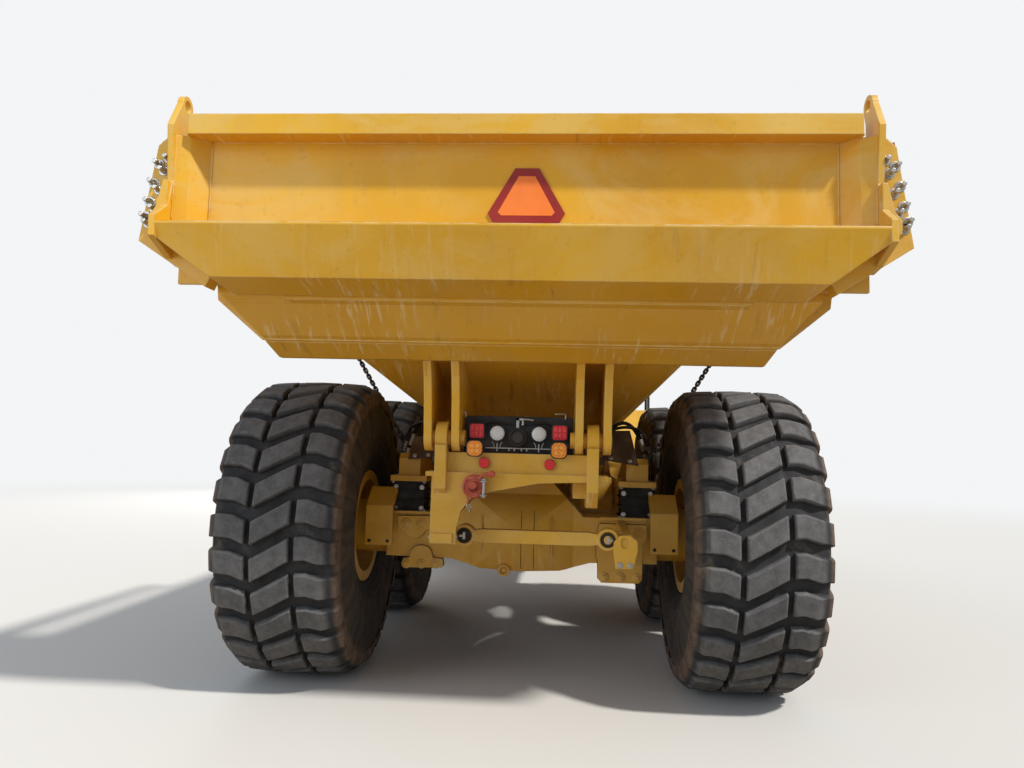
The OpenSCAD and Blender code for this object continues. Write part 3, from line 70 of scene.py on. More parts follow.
# Directions; INWARD is seen from the left side
FRONT, BACK, UP, DOWN, OUTWARD, INWARD = (1, 0, 0), (-1, 0, 0), (0, 0, 1), (0, 0, -1), (0, 1, 0), (0, -1, 0)


# Materials

class Nodes:
    """Short names for adding nodes to a tree."""

    def __init__(self, tree):
        self.tree = tree

    def node(self, kind, *values, **props):
        """A node whose first inputs take the values in order."""
        n = self.tree.nodes.new(kind)
        for key, value in props.items():
            setattr(n, key, value)
        for socket, value in zip(n.inputs, values):
            self.feed(socket, value)
        return n

    def feed(self, socket, value):
        if isinstance(value, bpy.types.NodeSocket):
            self.tree.links.new(value, socket)
        elif hasattr(socket.default_value, "__len__") and len(socket.default_value) == 4:
            socket.default_value = (*value[:3], 1)
        else:
            socket.default_value = value


class Shader(Nodes):
    """A Principled material and short names for what feeds it."""

    def __init__(self, name, rough=0.5, **sockets):
        self.mat = bpy.data.materials.new(name)
        self.mat.use_nodes = True
        super().__init__(self.mat.node_tree)
        self.bsdf = self.tree.nodes["Principled BSDF"]
        self.set("Roughness", rough)
        for key, value in sockets.items():
            self.set(key.replace("_", " "), value)
        self.place = self.node("ShaderNodeTexCoord").outputs["Object"]
        self.normal = self.node("ShaderNodeNewGeometry").outputs["Normal"]
        self.nz = self.split(self.normal)[2]
        self.x, self.y, self.z = self.split(self.place)

    def set(self, socket, value):
        self.bsdf.inputs[socket].default_value = value

    def split(self, vector):
        return self.node("ShaderNodeSeparateXYZ", vector).outputs

    def math(self, op, a, b=0.0):
        return self.node("ShaderNodeMath", a, b, operation=op).outputs[0]

    def times(self, *factors):
        out = factors[0]
        for f in factors[1:]:
            out = self.math("MULTIPLY", out, f)
        return out

    def plus(self, *terms):
        out = terms[0]
        for t in terms[1:]:
            out = self.math("ADD", out, t)
        return self.math("MINIMUM", out, 1.0)

    def far(self, a, b):
        return self.math("SQRT", self.math("ADD", self.times(a, a), self.times(b, b)))

    def span(self, value, low, high, to_low=0.0, to_high=1.0):
        return self.node("ShaderNodeMapRange", value, low, high, to_low, to_high,
                         interpolation_type="SMOOTHSTEP").outputs[0]

    def noise(self, scale, detail=4.0, rough=0.55, stretch=None, warp=0.0, where=None):
        where = where or self.place
        if stretch:
            m = self.node("ShaderNodeMapping", where)
            m.inputs["Scale"].default_value = stretch
            where = m.outputs[0]
        n = self.node("ShaderNodeTexNoise")
        for key, v in (("Vector", where), ("Scale", scale), ("Detail", detail), ("Roughness", rough),
                       ("Distortion", warp)):
            self.feed(n.inputs[key], v)
        return n.outputs["Fac"]

    def veil(self, low, high, *noise, out=(0.0, 1.0), **more):
        """Noise that goes softly from the first value of out at low to the second at high."""
        return self.span(self.noise(*noise, **more), low, high, *out)

    def mix(self, factor, a, b):
        n = self.node("ShaderNodeMix", data_type="RGBA")
        for key, v in (("Factor", factor), ("A", a), ("B", b)):
            self.feed(n.inputs[key], v)
        return n.outputs["Result"]

    def edge(self, radius=0.008):
        """1 along sharp edges, where a rounded normal leaves the true one; and the rounded normal."""
        bevel = self.node("ShaderNodeBevel", radius, samples=4).outputs[0]
        dot = self.node("ShaderNodeVectorMath", bevel, self.normal, operation="DOT_PRODUCT")
        return self.span(dot.outputs["Value"], 0.995, 0.9), bevel

    def color(self, value):
        self.feed(self.bsdf.inputs["Base Color"], value)

    def rough(self, value):
        self.feed(self.bsdf.inputs["Roughness"], value)

    def bump(self, height, distance, strength=0.5, normal=None):
        n = self.node("ShaderNodeBump")
        for key, v in (("Strength", strength), ("Distance", distance), ("Height", height), ("Normal", normal)):
            if v is not None:
                self.feed(n.inputs[key], v)
        self.feed(self.bsdf.inputs["Normal"], n.outputs[0])


DUST = (0.42, 0.3, 0.155)


def toned(color, k):
    return tuple(c * k for c in color)


def paint(name, base, deep, rough=0.38, dust=0.5, wear_and_edge_highlight=0.5, pale=(0.86, 0.66, 0.36), fade=0.52,
          faded_to=(0.74, 0.51, 0.15)):
    """Enamel: cloudy fading, dribbles, dust on ledges and low down, water marks below, rubbed edges and chips;
    undersides carry painted shade and the edges a painted highlight.
    """
    s = Shader(name, rough)
    rubbed_edges_and_highlight, rounded = s.edge()
    upright = s.math("SUBTRACT", 1.0, s.math("ABSOLUTE", s.nz))
    down = s.span(s.nz, -0.05, -0.75)
    ledge = s.span(s.nz, 0.3, 0.95)
    low = s.span(s.z, 1.4, 0.5)
    col = s.mix(s.veil(0.32, 0.7, 0.9, 3), base, deep)
    # Sun-faded clouds, longer than wide
    sky = s.span(s.nz, -0.9, 0.1, 0.5, 1.0)
    col = s.mix(s.times(s.veil(0.42, 0.6, 1.9, 8, 0.66, (0.6, 0.8, 1.3), 0.8), sky, fade), col, faded_to)
    # Undersides get a deeper, warmer colour: painted shade, with a painted warm light thrown up from the ground
    col = s.mix(s.times(down, 0.45), col, tuple(c * k for c, k in zip(deep, (0.92, 0.78, 0.55))))
    streak = s.veil(0.48, 0.72, 7, 5, 0.6, (1, 1, 0.07), 0.4)
    fine = s.veil(0.52, 0.7, 26, 4, 0.6, (1, 1, 0.05), 0.2)
    cloud = s.veil(0.4, 0.66, 2.6, 7, 0.62)
    amount = s.plus(s.times(ledge, 0.8), s.times(low, 0.42), s.times(streak, upright, 0.3),
                    s.times(fine, upright, 0.14), s.times(down, cloud, 0.35))
    grime = s.times(amount, s.veil(0.25, 0.65, 9, 6, 0.65, out=(0.45, 1.0)), s.plus(s.times(cloud, 0.7), 0.3), dust)
    col = s.mix(grime, col, DUST)
    # Dried splashes and stains on the undersides
    marks = s.times(down, s.veil(0.54, 0.64, 30, 6, 0.65, (0.1, 1, 0.1), 0.5), s.veil(0.4, 0.6, 2.1, 4), 0.75)
    col = s.mix(marks, col, (0.78, 0.57, 0.27))
    stain = s.times(down, s.veil(0.56, 0.68, 22, 6, 0.6, (0.12, 1, 0.12), 0.4), s.veil(0.46, 0.6, 1.3, 3), 0.45)
    col = s.mix(stain, col, (0.26, 0.12, 0.03))
    col = s.mix(s.times(s.veil(0.6, 0.72, 34, 3), 0.18), col, toned(base, 0.45))
    chips = s.times(s.veil(0.7, 0.74, 58, 4, 0.7), s.veil(0.5, 0.66, 4.5, 4), 0.75 * wear_and_edge_highlight)
    col = s.mix(chips, col, (0.2, 0.13, 0.08))
    # Paler edges: rubbed paint, and also a painted highlight along the edges
    s.color(s.mix(s.times(rubbed_edges_and_highlight, s.veil(0.36, 0.6, 14, 5), wear_and_edge_highlight), col, pale))
    s.rough(s.plus(s.times(grime, 0.45), s.veil(0.3, 0.7, 5, 4, out=(rough - 0.05, rough + 0.1))))
    s.set("Coat Weight", 0.1)
    s.set("Coat Roughness", 0.25)
    s.bump(s.plus(s.times(s.noise(120, 2), 0.4), s.times(s.noise(2.2, 2), 0.6)), 0.0008, 0.35, rounded)
    return s.mat


def rubber(name, face, groove, radial=False):
    """Tyre rubber: grey scuffed faces with pale rims, partly rubbed and partly a painted edge highlight, black
    grooves, brown dust on the sides.
    """
    s = Shader(name, 0.82)
    rounded = None
    col = s.mix(s.veil(0.3, 0.7, 9, 5), groove, toned(groove, 1.5))
    if radial:
        r = s.far(s.x, s.z)
        side = s.math("ABSOLUTE", s.y)
        top = s.span(r, 0.893, 0.916)
        mottled = s.mix(s.veil(0.3, 0.72, 16, 6, 0.65), face, toned(face, 0.58))
        mottled = s.mix(s.times(s.veil(0.56, 0.7, 85, 4, 0.7), 0.5), mottled, toned(face, 1.55))
        col = s.mix(top, col, mottled)
        rubbed_edges_and_highlight, rounded = s.edge(0.01)
        # Paler lug rims: rubbed rubber, and also a painted highlight along the edges
        col = s.mix(s.times(rubbed_edges_and_highlight, top, s.veil(0.35, 0.6, 22, 4), 0.55), col, toned(face, 1.9))
        # Dribbles run round the side walls from tread to rim
        turn = s.math("ARCTAN2", s.x, s.z)
        wall = s.node("ShaderNodeCombineXYZ", s.times(turn, 5.5), s.times(r, 1.1)).outputs[0]
        dribbles = s.veil(0.32, 0.66, 2.2, 6.0, 0.5, where=wall, out=(0.15, 1.0))
        flank = s.times(s.span(side, 0.335, 0.362), dribbles, s.span(r, 0.93, 0.78, 0.15, 1.0))
        col = s.mix(s.times(flank, 0.5), col, (0.135, 0.098, 0.07))
        # Brown scuffed shoulders at the lugs' outer ends
        shoulder = s.times(s.span(side, 0.325, 0.352), s.span(r, 0.755, 0.8))
        band = s.times(shoulder, s.veil(0.32, 0.6, 11, 6, 0.65, out=(0.35, 1.0)))
        col = s.mix(s.times(band, 0.75), col, (0.195, 0.13, 0.092))
        col = s.mix(s.times(s.veil(0.56, 0.74, 5.5, 7, 0.7), 0.4), col, (0.22, 0.18, 0.13))
    else:
        col = s.mix(s.times(s.veil(0.48, 0.72, 7, 6), 0.4), col, face)
    s.color(col)
    s.rough(s.veil(0.3, 0.7, 20, 3, out=(0.72, 0.94)))
    s.bump(s.plus(s.times(s.noise(70, 6, 0.7), 0.6), s.times(s.noise(14, 4), 0.4)), 0.003, 0.5, rounded)
    return s.mat


def plain(name, base, rough, spot=None, metal=0.0, grain=60, bump=0.0008, dust=0.25, edges=False, **sockets):
    """Plastics, cast iron and steels: a toned colour with dust and a fine grain."""
    s = Shader(name, rough, Metallic=metal, **sockets)
    normal = s.edge(0.004)[1] if edges else None
    col = s.mix(s.veil(0.3, 0.72, 6, 5), base, spot or toned(base, 0.7))
    grime = s.times(s.veil(0.42, 0.72, 4, 6, 0.6), s.span(s.nz, -0.4, 0.9, 0.35, 1.0), dust)
    s.color(s.mix(grime, col, DUST))
    s.rough(s.veil(0.3, 0.7, 11, 4, out=(max(rough - 0.08, 0.03), min(rough + 0.12, 1.0))))
    s.bump(s.noise(grain, 4), bump, 0.4, normal)
    return s.mat


def lens(name, base, glow, cell=330.0):
    """A moulded lamp lens with a grid of small prisms; the brighter glow colour on their crests is a painted glint."""
    s = Shader(name, 0.16)
    wave = s.times(s.math("SINE", s.times(s.y, cell)), s.math("SINE", s.times(s.z, cell)))
    s.color(s.mix(s.span(wave, -0.2, 0.7), base, glow))
    s.set("Coat Weight", 0.3)
    s.bump(wave, 0.002, 0.4)
    return s.mat


def cloth(name, base, thread=1400.0):
    s = Shader(name, 0.93, Sheen_Weight=0.25)
    weave = s.times(s.math("SINE", s.times(s.plus(s.x, s.z), thread)), s.math("SINE", s.times(s.y, thread)))
    s.color(s.mix(s.veil(0.3, 0.7, 14, 5), base, toned(base, 1.7)))
    s.bump(weave, 0.0008, 0.4)
    return s.mat


MATS = {
    "yellow": paint("yellow_enamel", (0.8, 0.448, 0.02), (0.68, 0.352, 0.012), wear_and_edge_highlight=0.8),
    "frame_yellow": paint("frame_enamel", (0.74, 0.405, 0.018), (0.56, 0.285, 0.013), 0.46, 0.5, 0.6, fade=0.32),
    "rim_yellow": paint("rim_enamel", (0.72, 0.39, 0.03), (0.54, 0.275, 0.022), 0.46, 0.7, 0.5, fade=0.35),
    "dark_paint": plain("dark_enamel", (0.028, 0.028, 0.03), 0.48, edges=True),
    "engine_iron": plain("engine_iron", (0.16, 0.13, 0.09), 0.62, (0.09, 0.075, 0.055), 0.2, 40, 0.002, 0.5, True),
    "black_plastic": plain("black_plastic", (0.018, 0.018, 0.02), 0.55, edges=True),
    "seat_cloth": cloth("seat_cloth", (0.035, 0.036, 0.04)),
    "rubber": rubber("block_rubber", (0.09, 0.08, 0.07), (0.016, 0.016, 0.017)),
    "glass": plain("tinted_glass", (0.52, 0.6, 0.62), 0.04, (0.46, 0.55, 0.57), dust=0.0, bump=0.00005,
                   Transmission_Weight=0.94, IOR=1.45),
    "lens": lens("clear_lens", (0.62, 0.64, 0.66), (0.92, 0.93, 0.95), 380.0),
    "bright_steel": plain("bright_steel", (0.66, 0.66, 0.67), 0.2, (0.58, 0.58, 0.6), 1.0, 90, 0.0002, 0.1),
    "red_paint": paint("red_enamel", (0.55, 0.055, 0.025), (0.42, 0.04, 0.02), 0.42, 0.4, 0.35, (0.75, 0.3, 0.2),
                       fade=0.4, faded_to=(0.6, 0.14, 0.08)),
    "chain_iron": plain("chain_iron", (0.022, 0.021, 0.02), 0.5, (0.05, 0.035, 0.025), 0.6),
    "tyre": rubber("tyre_rubber", (0.132, 0.131, 0.136), (0.022, 0.022, 0.024), True),
}
ZINC = plain("zinc_bolt", (0.52, 0.51, 0.49), 0.34, (0.48, 0.47, 0.45), 0.9, 80, 0.0004, 0.3, True)
RED_LENS = lens("red_lens", (0.68, 0.004, 0.01), (0.92, 0.03, 0.04))
AMBER_LENS = lens("amber_lens", (0.85, 0.22, 0.005), (1.0, 0.4, 0.03))
RED_CELL = lens("red_cell", (0.92, 0.012, 0.025), (1.0, 0.12, 0.12), 700.0)
AMBER_CELL = lens("amber_cell", (0.98, 0.36, 0.015), (1.0, 0.55, 0.08), 700.0)
HOSE = plain("hose_rubber", (0.016, 0.016, 0.017), 0.6, grain=300)
BROWN = plain("brown_guard", (0.1, 0.055, 0.03), 0.7, (0.065, 0.038, 0.024), 0.1, dust=0.6, edges=True)
ORANGE = plain("emblem_orange", (0.95, 0.24, 0.035), 0.45, (0.88, 0.2, 0.03), dust=0.12)
DARK_RED = plain("emblem_rim", (0.33, 0.022, 0.018), 0.35, (0.27, 0.018, 0.015), dust=0.12)
# Dark joints, and also painted shade in holes, slots and hollows
DARK_SEAM_AND_SHADE = plain("seam_and_shade_dark", (0.025, 0.015, 0.006), 0.8)
MIRROR = plain("mirror_silver", (0.82, 0.84, 0.86), 0.04, (0.8, 0.82, 0.84), 1.0, bump=0.00003, dust=0.0)

BOLTS = ("bright_steel", ZINC)

# Carried-over CAD nodes take their slot's material
for part in frame["record"]["subparts"]:
    materials = NODES[part["node"]].data.materials
    materials.clear()
    materials.append(MATS[part["material_slot"]])


# Meshes

def mirrored(p):
    """A point or direction given for the left, on the side that both_sides has reached."""
    return Vector((p[0], p[1] * Shape.side, p[2]))


def both_sides():
    """1, then -1; meanwhile all that Shape and on are given for the left is mirrored for the right."""
    for Shape.side in (1, -1):
        yield Shape.side
    Shape.side = 1


def around(n, start=0.0):
    """Cosine, sine and angle of n even turns."""
    return [(cos(a), sin(a), a) for a in (start + 2 * pi * i / n for i in range(n))]


def quads(rows, n, wrap=True, ring=False):
    """Faces of a grid of rows of n points; wrap closes each row, and ring joins the last row to the first."""
    return [(i * n + j, i * n + (j + 1) % n, (i + 1) % rows * n + (j + 1) % n, (i + 1) % rows * n + j)
            for i in range(rows if ring else rows - 1) for j in range(n if wrap else n - 1)]


class Shape:
    """Gathers forms in one mesh, then makes a piece that rides on a body."""

    side = 1

    def __init__(self):
        self.bm = bmesh.new()

    def add(self, verts, faces, bevel=0.0, segments=1, slot=0):
        vs = [self.bm.verts.new(v) for v in verts]
        fs = [self.bm.faces.new([vs[i] for i in f]) for f in faces]
        for face in fs:
            face.material_index = slot
        if bevel:
            edges = {e for f in fs for e in f.edges if len(e.link_faces) == 2 and e.calc_face_angle(0) > 0.5}
            bmesh.ops.bevel(self.bm, geom=list(edges), offset=bevel, segments=segments, affect="EDGES", profile=0.5,
                            material=-1)

    def prism(self, outline, axis, low, high, bevel=0.002, segments=1, slot=0):
        """An outline thick along axis 0, 1 or 2; the outline's pairs are the other two axes in order."""
        n = len(outline)
        verts = [mirrored([*p[:axis], d, *p[axis:]]) for d in (low, high) for p in outline]
        faces = [tuple(range(n))[::-1], tuple(range(n, 2 * n))] + quads(2, n)
        self.add(verts, faces, bevel, segments, slot)

    def box(self, low, high, bevel=0.002, segments=1):
        (x0, y0, z0), (x1, y1, z1) = low, high
        self.prism([(x0, y0), (x1, y0), (x1, y1), (x0, y1)], 2, z0, z1, bevel, segments)

    def turned(self, profile, at, axis, n=24, slot=0, spin=0.0):
        """A lathe form: profile of (radius, place along axis)."""
        at, axis = mirrored(at), mirrored(axis).normalized()
        side = axis.orthogonal().normalized()
        other = axis.cross(side)
        verts, faces, rings = [], [], []
        for r, h in profile:
            count = n if r > 1e-6 else 1
            rings.append(list(range(len(verts), len(verts) + count)))
            verts += [at + axis * h + side * (r * c) + other * (r * d) for c, d, _ in around(n, spin)[:count]]
        for low, high in zip(rings, rings[1:]):
            for i in range(n):
                j = (i + 1) % n
                quad = [low[i % len(low)], low[j % len(low)], high[j % len(high)], high[i % len(high)]]
                face = list(dict.fromkeys(quad))
                if len(face) > 2:
                    faces.append(face)
        self.add(verts, faces, slot=slot)

    def rod(self, a, b, r, n=20, soft=0.002):
        axis = Vector(b) - Vector(a)
        d = axis.length
        self.turned([(0, 0), (r - soft, 0), (r, soft), (r, d - soft), (r - soft, d), (0, d)], a, axis, n)

    def bolt(self, at, axis, r=0.014, washer=True, spin=0.0):
        """Hex head on a washer, standing on its seat."""
        base = 0.0
        if washer:
            base = r * 0.26
            self.turned([(r * 1.55, -0.001), (r * 1.55, r * 0.18), (r * 1.45, base), (0, base)], at, axis, 16)
        top = base + r * 0.78
        self.turned([(r, base), (r, base + r * 0.62), (r * 0.86, top), (0, top)], at, axis, 6, 0, spin)

    def tube(self, points, r, n=10, steps=6, slot=0):
        """A smooth hose through the points."""
        path = smooth_path([mirrored(p) for p in points], steps)
        side = (path[1] - path[0]).normalized().orthogonal().normalized()
        verts = []
        for i, p in enumerate(path):
            t = (path[min(i + 1, len(path) - 1)] - path[max(i - 1, 0)]).normalized()
            side = (side - t * side.dot(t)).normalized()
            up = t.cross(side)
            verts += [p + side * (r * c) + up * (r * d) for c, d, _ in around(n)]
        ends = [tuple(range(n))[::-1], tuple(range(len(verts) - n, len(verts)))]
        self.add(verts, quads(len(path), n) + ends, slot=slot)

    def bead(self, a, b, r=0.006):
        """A straight weld bead."""
        a, b = Vector(a), Vector(b)
        count = max(4, int((b - a).length / 0.03))
        self.tube([a.lerp(b, i / count) for i in range(count + 1)], r, 6, 1)

    def ring(self, at, axis, radius, wire, squash, n=16, k=8):
        """A closed loop of round wire; squash shortens it across."""
        axis = Vector(axis).normalized()
        side = axis.orthogonal().normalized()
        other = axis.cross(side)
        verts = []
        for c, d, _ in around(n):
            out = (side * c + other * (d * squash)).normalized()
            centre = Vector(at) + side * (radius * c) + other * (radius * squash * d)
            verts += [centre + out * (wire * e) + axis * (wire * f) for e, f, _ in around(k)]
        self.add(verts, quads(n, k, ring=True))

    def mesh(self, name, mats, smooth=35.0):
        mesh = bpy.data.meshes.new(name)
        bmesh.ops.recalc_face_normals(self.bm, faces=self.bm.faces[:])
        self.bm.to_mesh(mesh)
        self.bm.free()
        for m in mats:
            mesh.materials.append(m)
        mesh.shade_smooth()
        mesh.set_sharp_from_angle(angle=radians(smooth))
        return mesh

    def make(self, name, body, slot, *mats, smooth=35.0):
        return piece(name, self.mesh(name, mats or [MATS[slot]], smooth), body, slot)


def link(name, data, at=(0, 0, 0), turn=0.0):
    """A new object in the scene, turned about its own upright axis."""
    obj = bpy.data.objects.new(name, data)
    bpy.context.scene.collection.objects.link(obj)
    obj.location = at
    obj.rotation_euler = (0, 0, turn)
    return obj


def piece(name, mesh, body, slot, at=(0, 0, 0), turn=0.0):
    obj = link(name, mesh, at, turn)
    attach(obj, body)
    return obj


def trim(body, **looks):
    """Runs a function at once with a Shape for each piece named, and makes the pieces.

    A look is a slot, or a slot and the materials that take its place.
    """
    def run(build):
        shapes = [Shape() for _ in looks]
        build(*shapes)
        for shape, (name, look) in zip(shapes, looks.items()):
            shape.make(name, body, *([look] if isinstance(look, str) else look))
        return build
    return run


def smooth_path(points, steps):
    """Catmull-Rom through the points."""
    if steps < 2 or len(points) < 3:
        return points
    out = []
    ends = [points[0] * 2 - points[1]] + points + [points[-1] * 2 - points[-2]]
    for a, b, c, d in zip(ends, ends[1:], ends[2:], ends[3:]):
        for i in range(steps):
            t = i / steps
            out.append(0.5 * (2 * b + (c - a) * t + (2 * a - 5 * b + 4 * c - d) * t * t
                              + (3 * b - a - 3 * c + d) * t * t * t))
    out.append(points[-1])
    return out


# Placing things on the CAD skin

SKINS = {}


def on(node, start, way):
    """Where a straight line first meets a CAD node, and the face's normal there."""
    if node not in SKINS:
        mesh = NODES[node].data
        SKINS[node] = BVHTree.FromPolygons([v.co for v in mesh.vertices], [p.vertices[:] for p in mesh.polygons])
    way = mirrored(way)
    at, normal = SKINS[node].ray_cast(mirrored(start), way)[:2]
    if at is None:
        return None, None
    return mirrored(at), mirrored(normal if normal.dot(way) < 0 else -normal)


def line_on(shape, node, starts, way, r=0.0025, lift=0.0, jump=0.05):
    """A seam, gasket or bead along the skin; it breaks where the skin steps."""
    run = []
    for start in starts + [None]:
        at, normal = on(node, start, way) if start else (None, None)
        if at is None or (run and (at - run[-1]).length > jump * 2.2):
            if len(run) > 1:
                shape.tube(run, r, 6, 1)
            run = []
        if at is not None:
            run.append(at + normal * lift)


def bolts_on(shape, node, starts, way, r=0.012):
    for i, start in enumerate(starts):
        at, normal = on(node, start, way)
        if at is not None:
            shape.bolt(at, normal, r, spin=0.5 * i)


def steps(low, high, step=0.05):
    n = max(1, round(abs(high - low) / step))
    return [low + (high - low) * i / n for i in range(n + 1)]


def spread(*axes):
    """Every point whose x, y and z are among those given, each one number or a list."""
    xs, ys, zs = (a if isinstance(a, list) else [a] for a in axes)
    return [(x, y, z) for x in xs for y in ys for z in zs]


# Tyres: a turned carcass with three rows of blocks in a zigzag

LUGS = 28
LUG_SHARE = 0.62
LUG_ANGLE = 2 * pi / LUGS
TREAD_R = 0.9375
HALF_TREAD = 0.338
CHAMFER, DRAFT = 0.007, 0.01
# (y, turn in lugs) along the zigzag, as seen from behind: y falls to the right
ROWS = [
    ((0.366, -0.02), (0.3, 0.02), (0.22, 0.0), (0.142, -0.14)),
    ((0.108, -0.16), (0.0, 0.12), (-0.108, 0.41)),
    ((-0.142, 0.45), (-0.2, 0.47), (-0.27, 0.36), (-0.366, 0.29)),
]
# (y, radius) from the tread's middle over the side wall to the bead
CARCASS = [(0.0, 0.89), (0.1, 0.889), (0.2, 0.886), (0.29, 0.877), (0.33, 0.868), (0.347, 0.845), (0.355, 0.8),
           (0.366, 0.75), (0.3735, 0.705), (0.3765, 0.66), (0.3755, 0.61), (0.3785, 0.6), (0.3785, 0.588),
           (0.372, 0.58), (0.366, 0.54), (0.358, 0.495), (0.361, 0.488), (0.36, 0.474), (0.352, 0.468),
           (0.338, 0.42), (0.328, 0.395), (0.326, 0.372), (0.312, 0.366), (0.299, 0.36), (0.297, 0.3235)]


def crown(y):
    y = abs(y)
    return TREAD_R - 0.016 * (y / HALF_TREAD) ** 2 - max(0.0, y - HALF_TREAD) * 2.2


def tread_point(y, r, turn):
    a = LUG_ANGLE * turn
    return (r * sin(a), y, r * cos(a))


def tyre_mesh():
    s = Shape()
    profile = [(r, -y) for y, r in reversed(CARCASS)] + [(r, y) for y, r in CARCASS[1:]]
    s.turned(profile + [profile[0]], (0, 0, 0), OUTWARD, LUGS * 4)
    c, d = (length / LUG_ANGLE / TREAD_R for length in (CHAMFER, DRAFT))
    rng = random.Random(7)
    for k in range(LUGS):
        for row in ROWS:
            jitter = rng.uniform(-0.012, 0.012)
            inset = CHAMFER if row[0][0] > row[-1][0] else -CHAMFER
            stations = [row[0], *row, row[-1]]
            last = len(stations) - 1
            verts = []
            for i, (y, turn) in enumerate(stations):
                y += {1: -inset, last - 1: inset}.get(i, 0)
                base = 0.872 if abs(y) < 0.32 else 0.8
                top = crown(y) - (CHAMFER if i in (0, last) else 0)
                low = k + turn + jitter
                high = low + LUG_SHARE
                verts += [tread_point(y, *p) for p in (
                    (base, low - d), (top - CHAMFER, low), (top, low + c),
                    (top, high - c), (top - CHAMFER, high), (base, high + d))]
            ends = [tuple(range(6)), tuple(range(len(verts) - 6, len(verts)))[::-1]]
            s.add(verts, quads(len(stations), 6, wrap=False) + ends)
    return s.mesh("tyre_detail", [MATS["tyre"]], 32)


def rim_trim():
    """Nuts, hub bolts, plugs, lock ring and valve, on the outer side (+Y)."""
    s = Shape()
    for n, start, circle, y, r in ((20, pi / 20, 0.258, 0.0898, 0.014), (16, 0, 0.184, 0.1798, 0.01),
                                   (6, 0, 0.098, 0.2498, 0.009)):
        for c, d, a in around(n, start):
            s.bolt((circle * c, y, circle * d), OUTWARD, r, washer=n == 20, spin=a)
    s.bolt((0, 0.2498, 0.045), OUTWARD, 0.017)
    s.turned([(0.3215, 0.296), (0.34, 0.3), (0.3425, 0.3185), (0.3215, 0.3215), (0.3215, 0.296)], (0, 0, 0),
             OUTWARD, 72, 1)
    s.tube([(0.285, 0.1, 0.02), (0.288, 0.16, 0.02), (0.283, 0.22, 0.02)], 0.006, 8)
    return s.mesh("rim_detail", [ZINC, MATS["rim_yellow"]])


def wheels():
    tread, nuts = tyre_mesh(), rim_trim()
    for end, x in AXLES.items():
        for hand, side in (("_left", 1), ("_right", -1)):
            name = end + hand
            hub = (x, side * WHEEL_Y, AXLE_Z)
            tyre = piece("tread_" + name, tread, "wheel_" + name, "tyre", hub)
            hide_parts("tyre_" + name)
            piece("wheel_nuts_" + name, nuts, "wheel_" + name, "rim_yellow", hub, 0 if side > 0 else pi)


wheels()


# Tail: the bolted arms, seams and beads of the gate

@trim("tailgate", gate_arm_bolts=("yellow", ZINC), gate_weld_beads="yellow")
def gate_details(s, w):
    """Studs and nuts that clamp the arms to the cheeks, and the gate's weld beads."""
    arm, panel, rail, beam = GATE_X - 0.1, GATE_X - 0.0262, 2.9485, 2.4735
    inner = [(1.704, 2.838), (1.724, 2.777), (1.743, 2.682), (1.76, 2.588), (1.788, 2.516)]
    outer = [(1.751, 2.811), (1.772, 2.716), (1.786, 2.622), (1.802, 2.549)]
    for _ in both_sides():
        for i, (y, z) in enumerate(inner + outer):
            s.bolt((arm, y, z), BACK, 0.0165, spin=0.3 * i)
            s.rod((arm - 0.012, y, z), (arm - 0.052, y, z), 0.0115, 16)
            s.bolt((GATE_X - 0.02, y, z), FRONT, 0.0145, spin=0.2 * i)
        w.bead((panel, 1.522, 2.476), (panel, 1.522, 2.946), 0.0045)
        w.bead((GATE_X - 0.098, 1.596, 2.468), (panel, 1.524, 2.475), 0.005)
        w.bead((GATE_X - 0.127, 1.658, 2.466), (GATE_X - 0.1, 1.598, 2.467), 0.005)
        w.bead((arm - 0.001, 1.6925, 2.6), (arm - 0.001, 1.6925, 2.965), 0.004)
        w.bead((GATE_X - 0.16, 1.6565, 2.475), (GATE_BACK + 0.03, 1.6565, 2.482), 0.0055)
        w.bead((GATE_X - 0.131, 1.657, 2.53), (GATE_X - 0.131, 1.657, 2.7), 0.0045)
        w.bead((GATE_X - 0.138, 1.6, rail), (GATE_X - 0.02, 1.6, rail), 0.0045)
    w.bead((panel - 0.002, -1.51, beam), (panel - 0.002, 1.51, beam))
    w.bead((panel - 0.001, -1.51, rail), (panel - 0.001, 1.51, rail), 0.005)


@trim("tailgate", emblem_film=("red_paint", ORANGE, DARK_RED))
def emblem(s):
    """The slow-vehicle triangle: a rim and a field of reflective film on the plate."""
    x, middle = GATE_X - 0.0333, -0.05
    for half, front, slot in (([(0.157, 2.548), (0.186, 2.6), (0.058, 2.822)], 0.0012, 1),
                              ([(0.122, 2.588), (0.137, 2.604), (0.04, 2.782)], 0.0024, 0)):
        outline = [(middle + y, z) for y, z in half] + [(middle - y, z) for y, z in half[::-1]]
        s.prism(outline, 0, x - front, x + 0.004, 0.0006, slot=slot)


# Rear lamps, reflectors and their wiring bar

def plate(shape, y, z, hy, hz, r, back, front, bevel, segments=1, slot=0, n=5):
    """An upright plate with rounded corners, of half width hy and half height hz."""
    outline = []
    for sy, sz, start in ((1, 1, 0), (-1, 1, 90), (-1, -1, 180), (1, -1, 270)):
        for i in range(n + 1):
            a = radians(start + 90 * i / n)
            outline.append((y + sy * (hy - r) + r * cos(a), z + sz * (hz - r) + r * sin(a)))
    shape.prism(outline, 0, back, front, bevel, segments, slot)


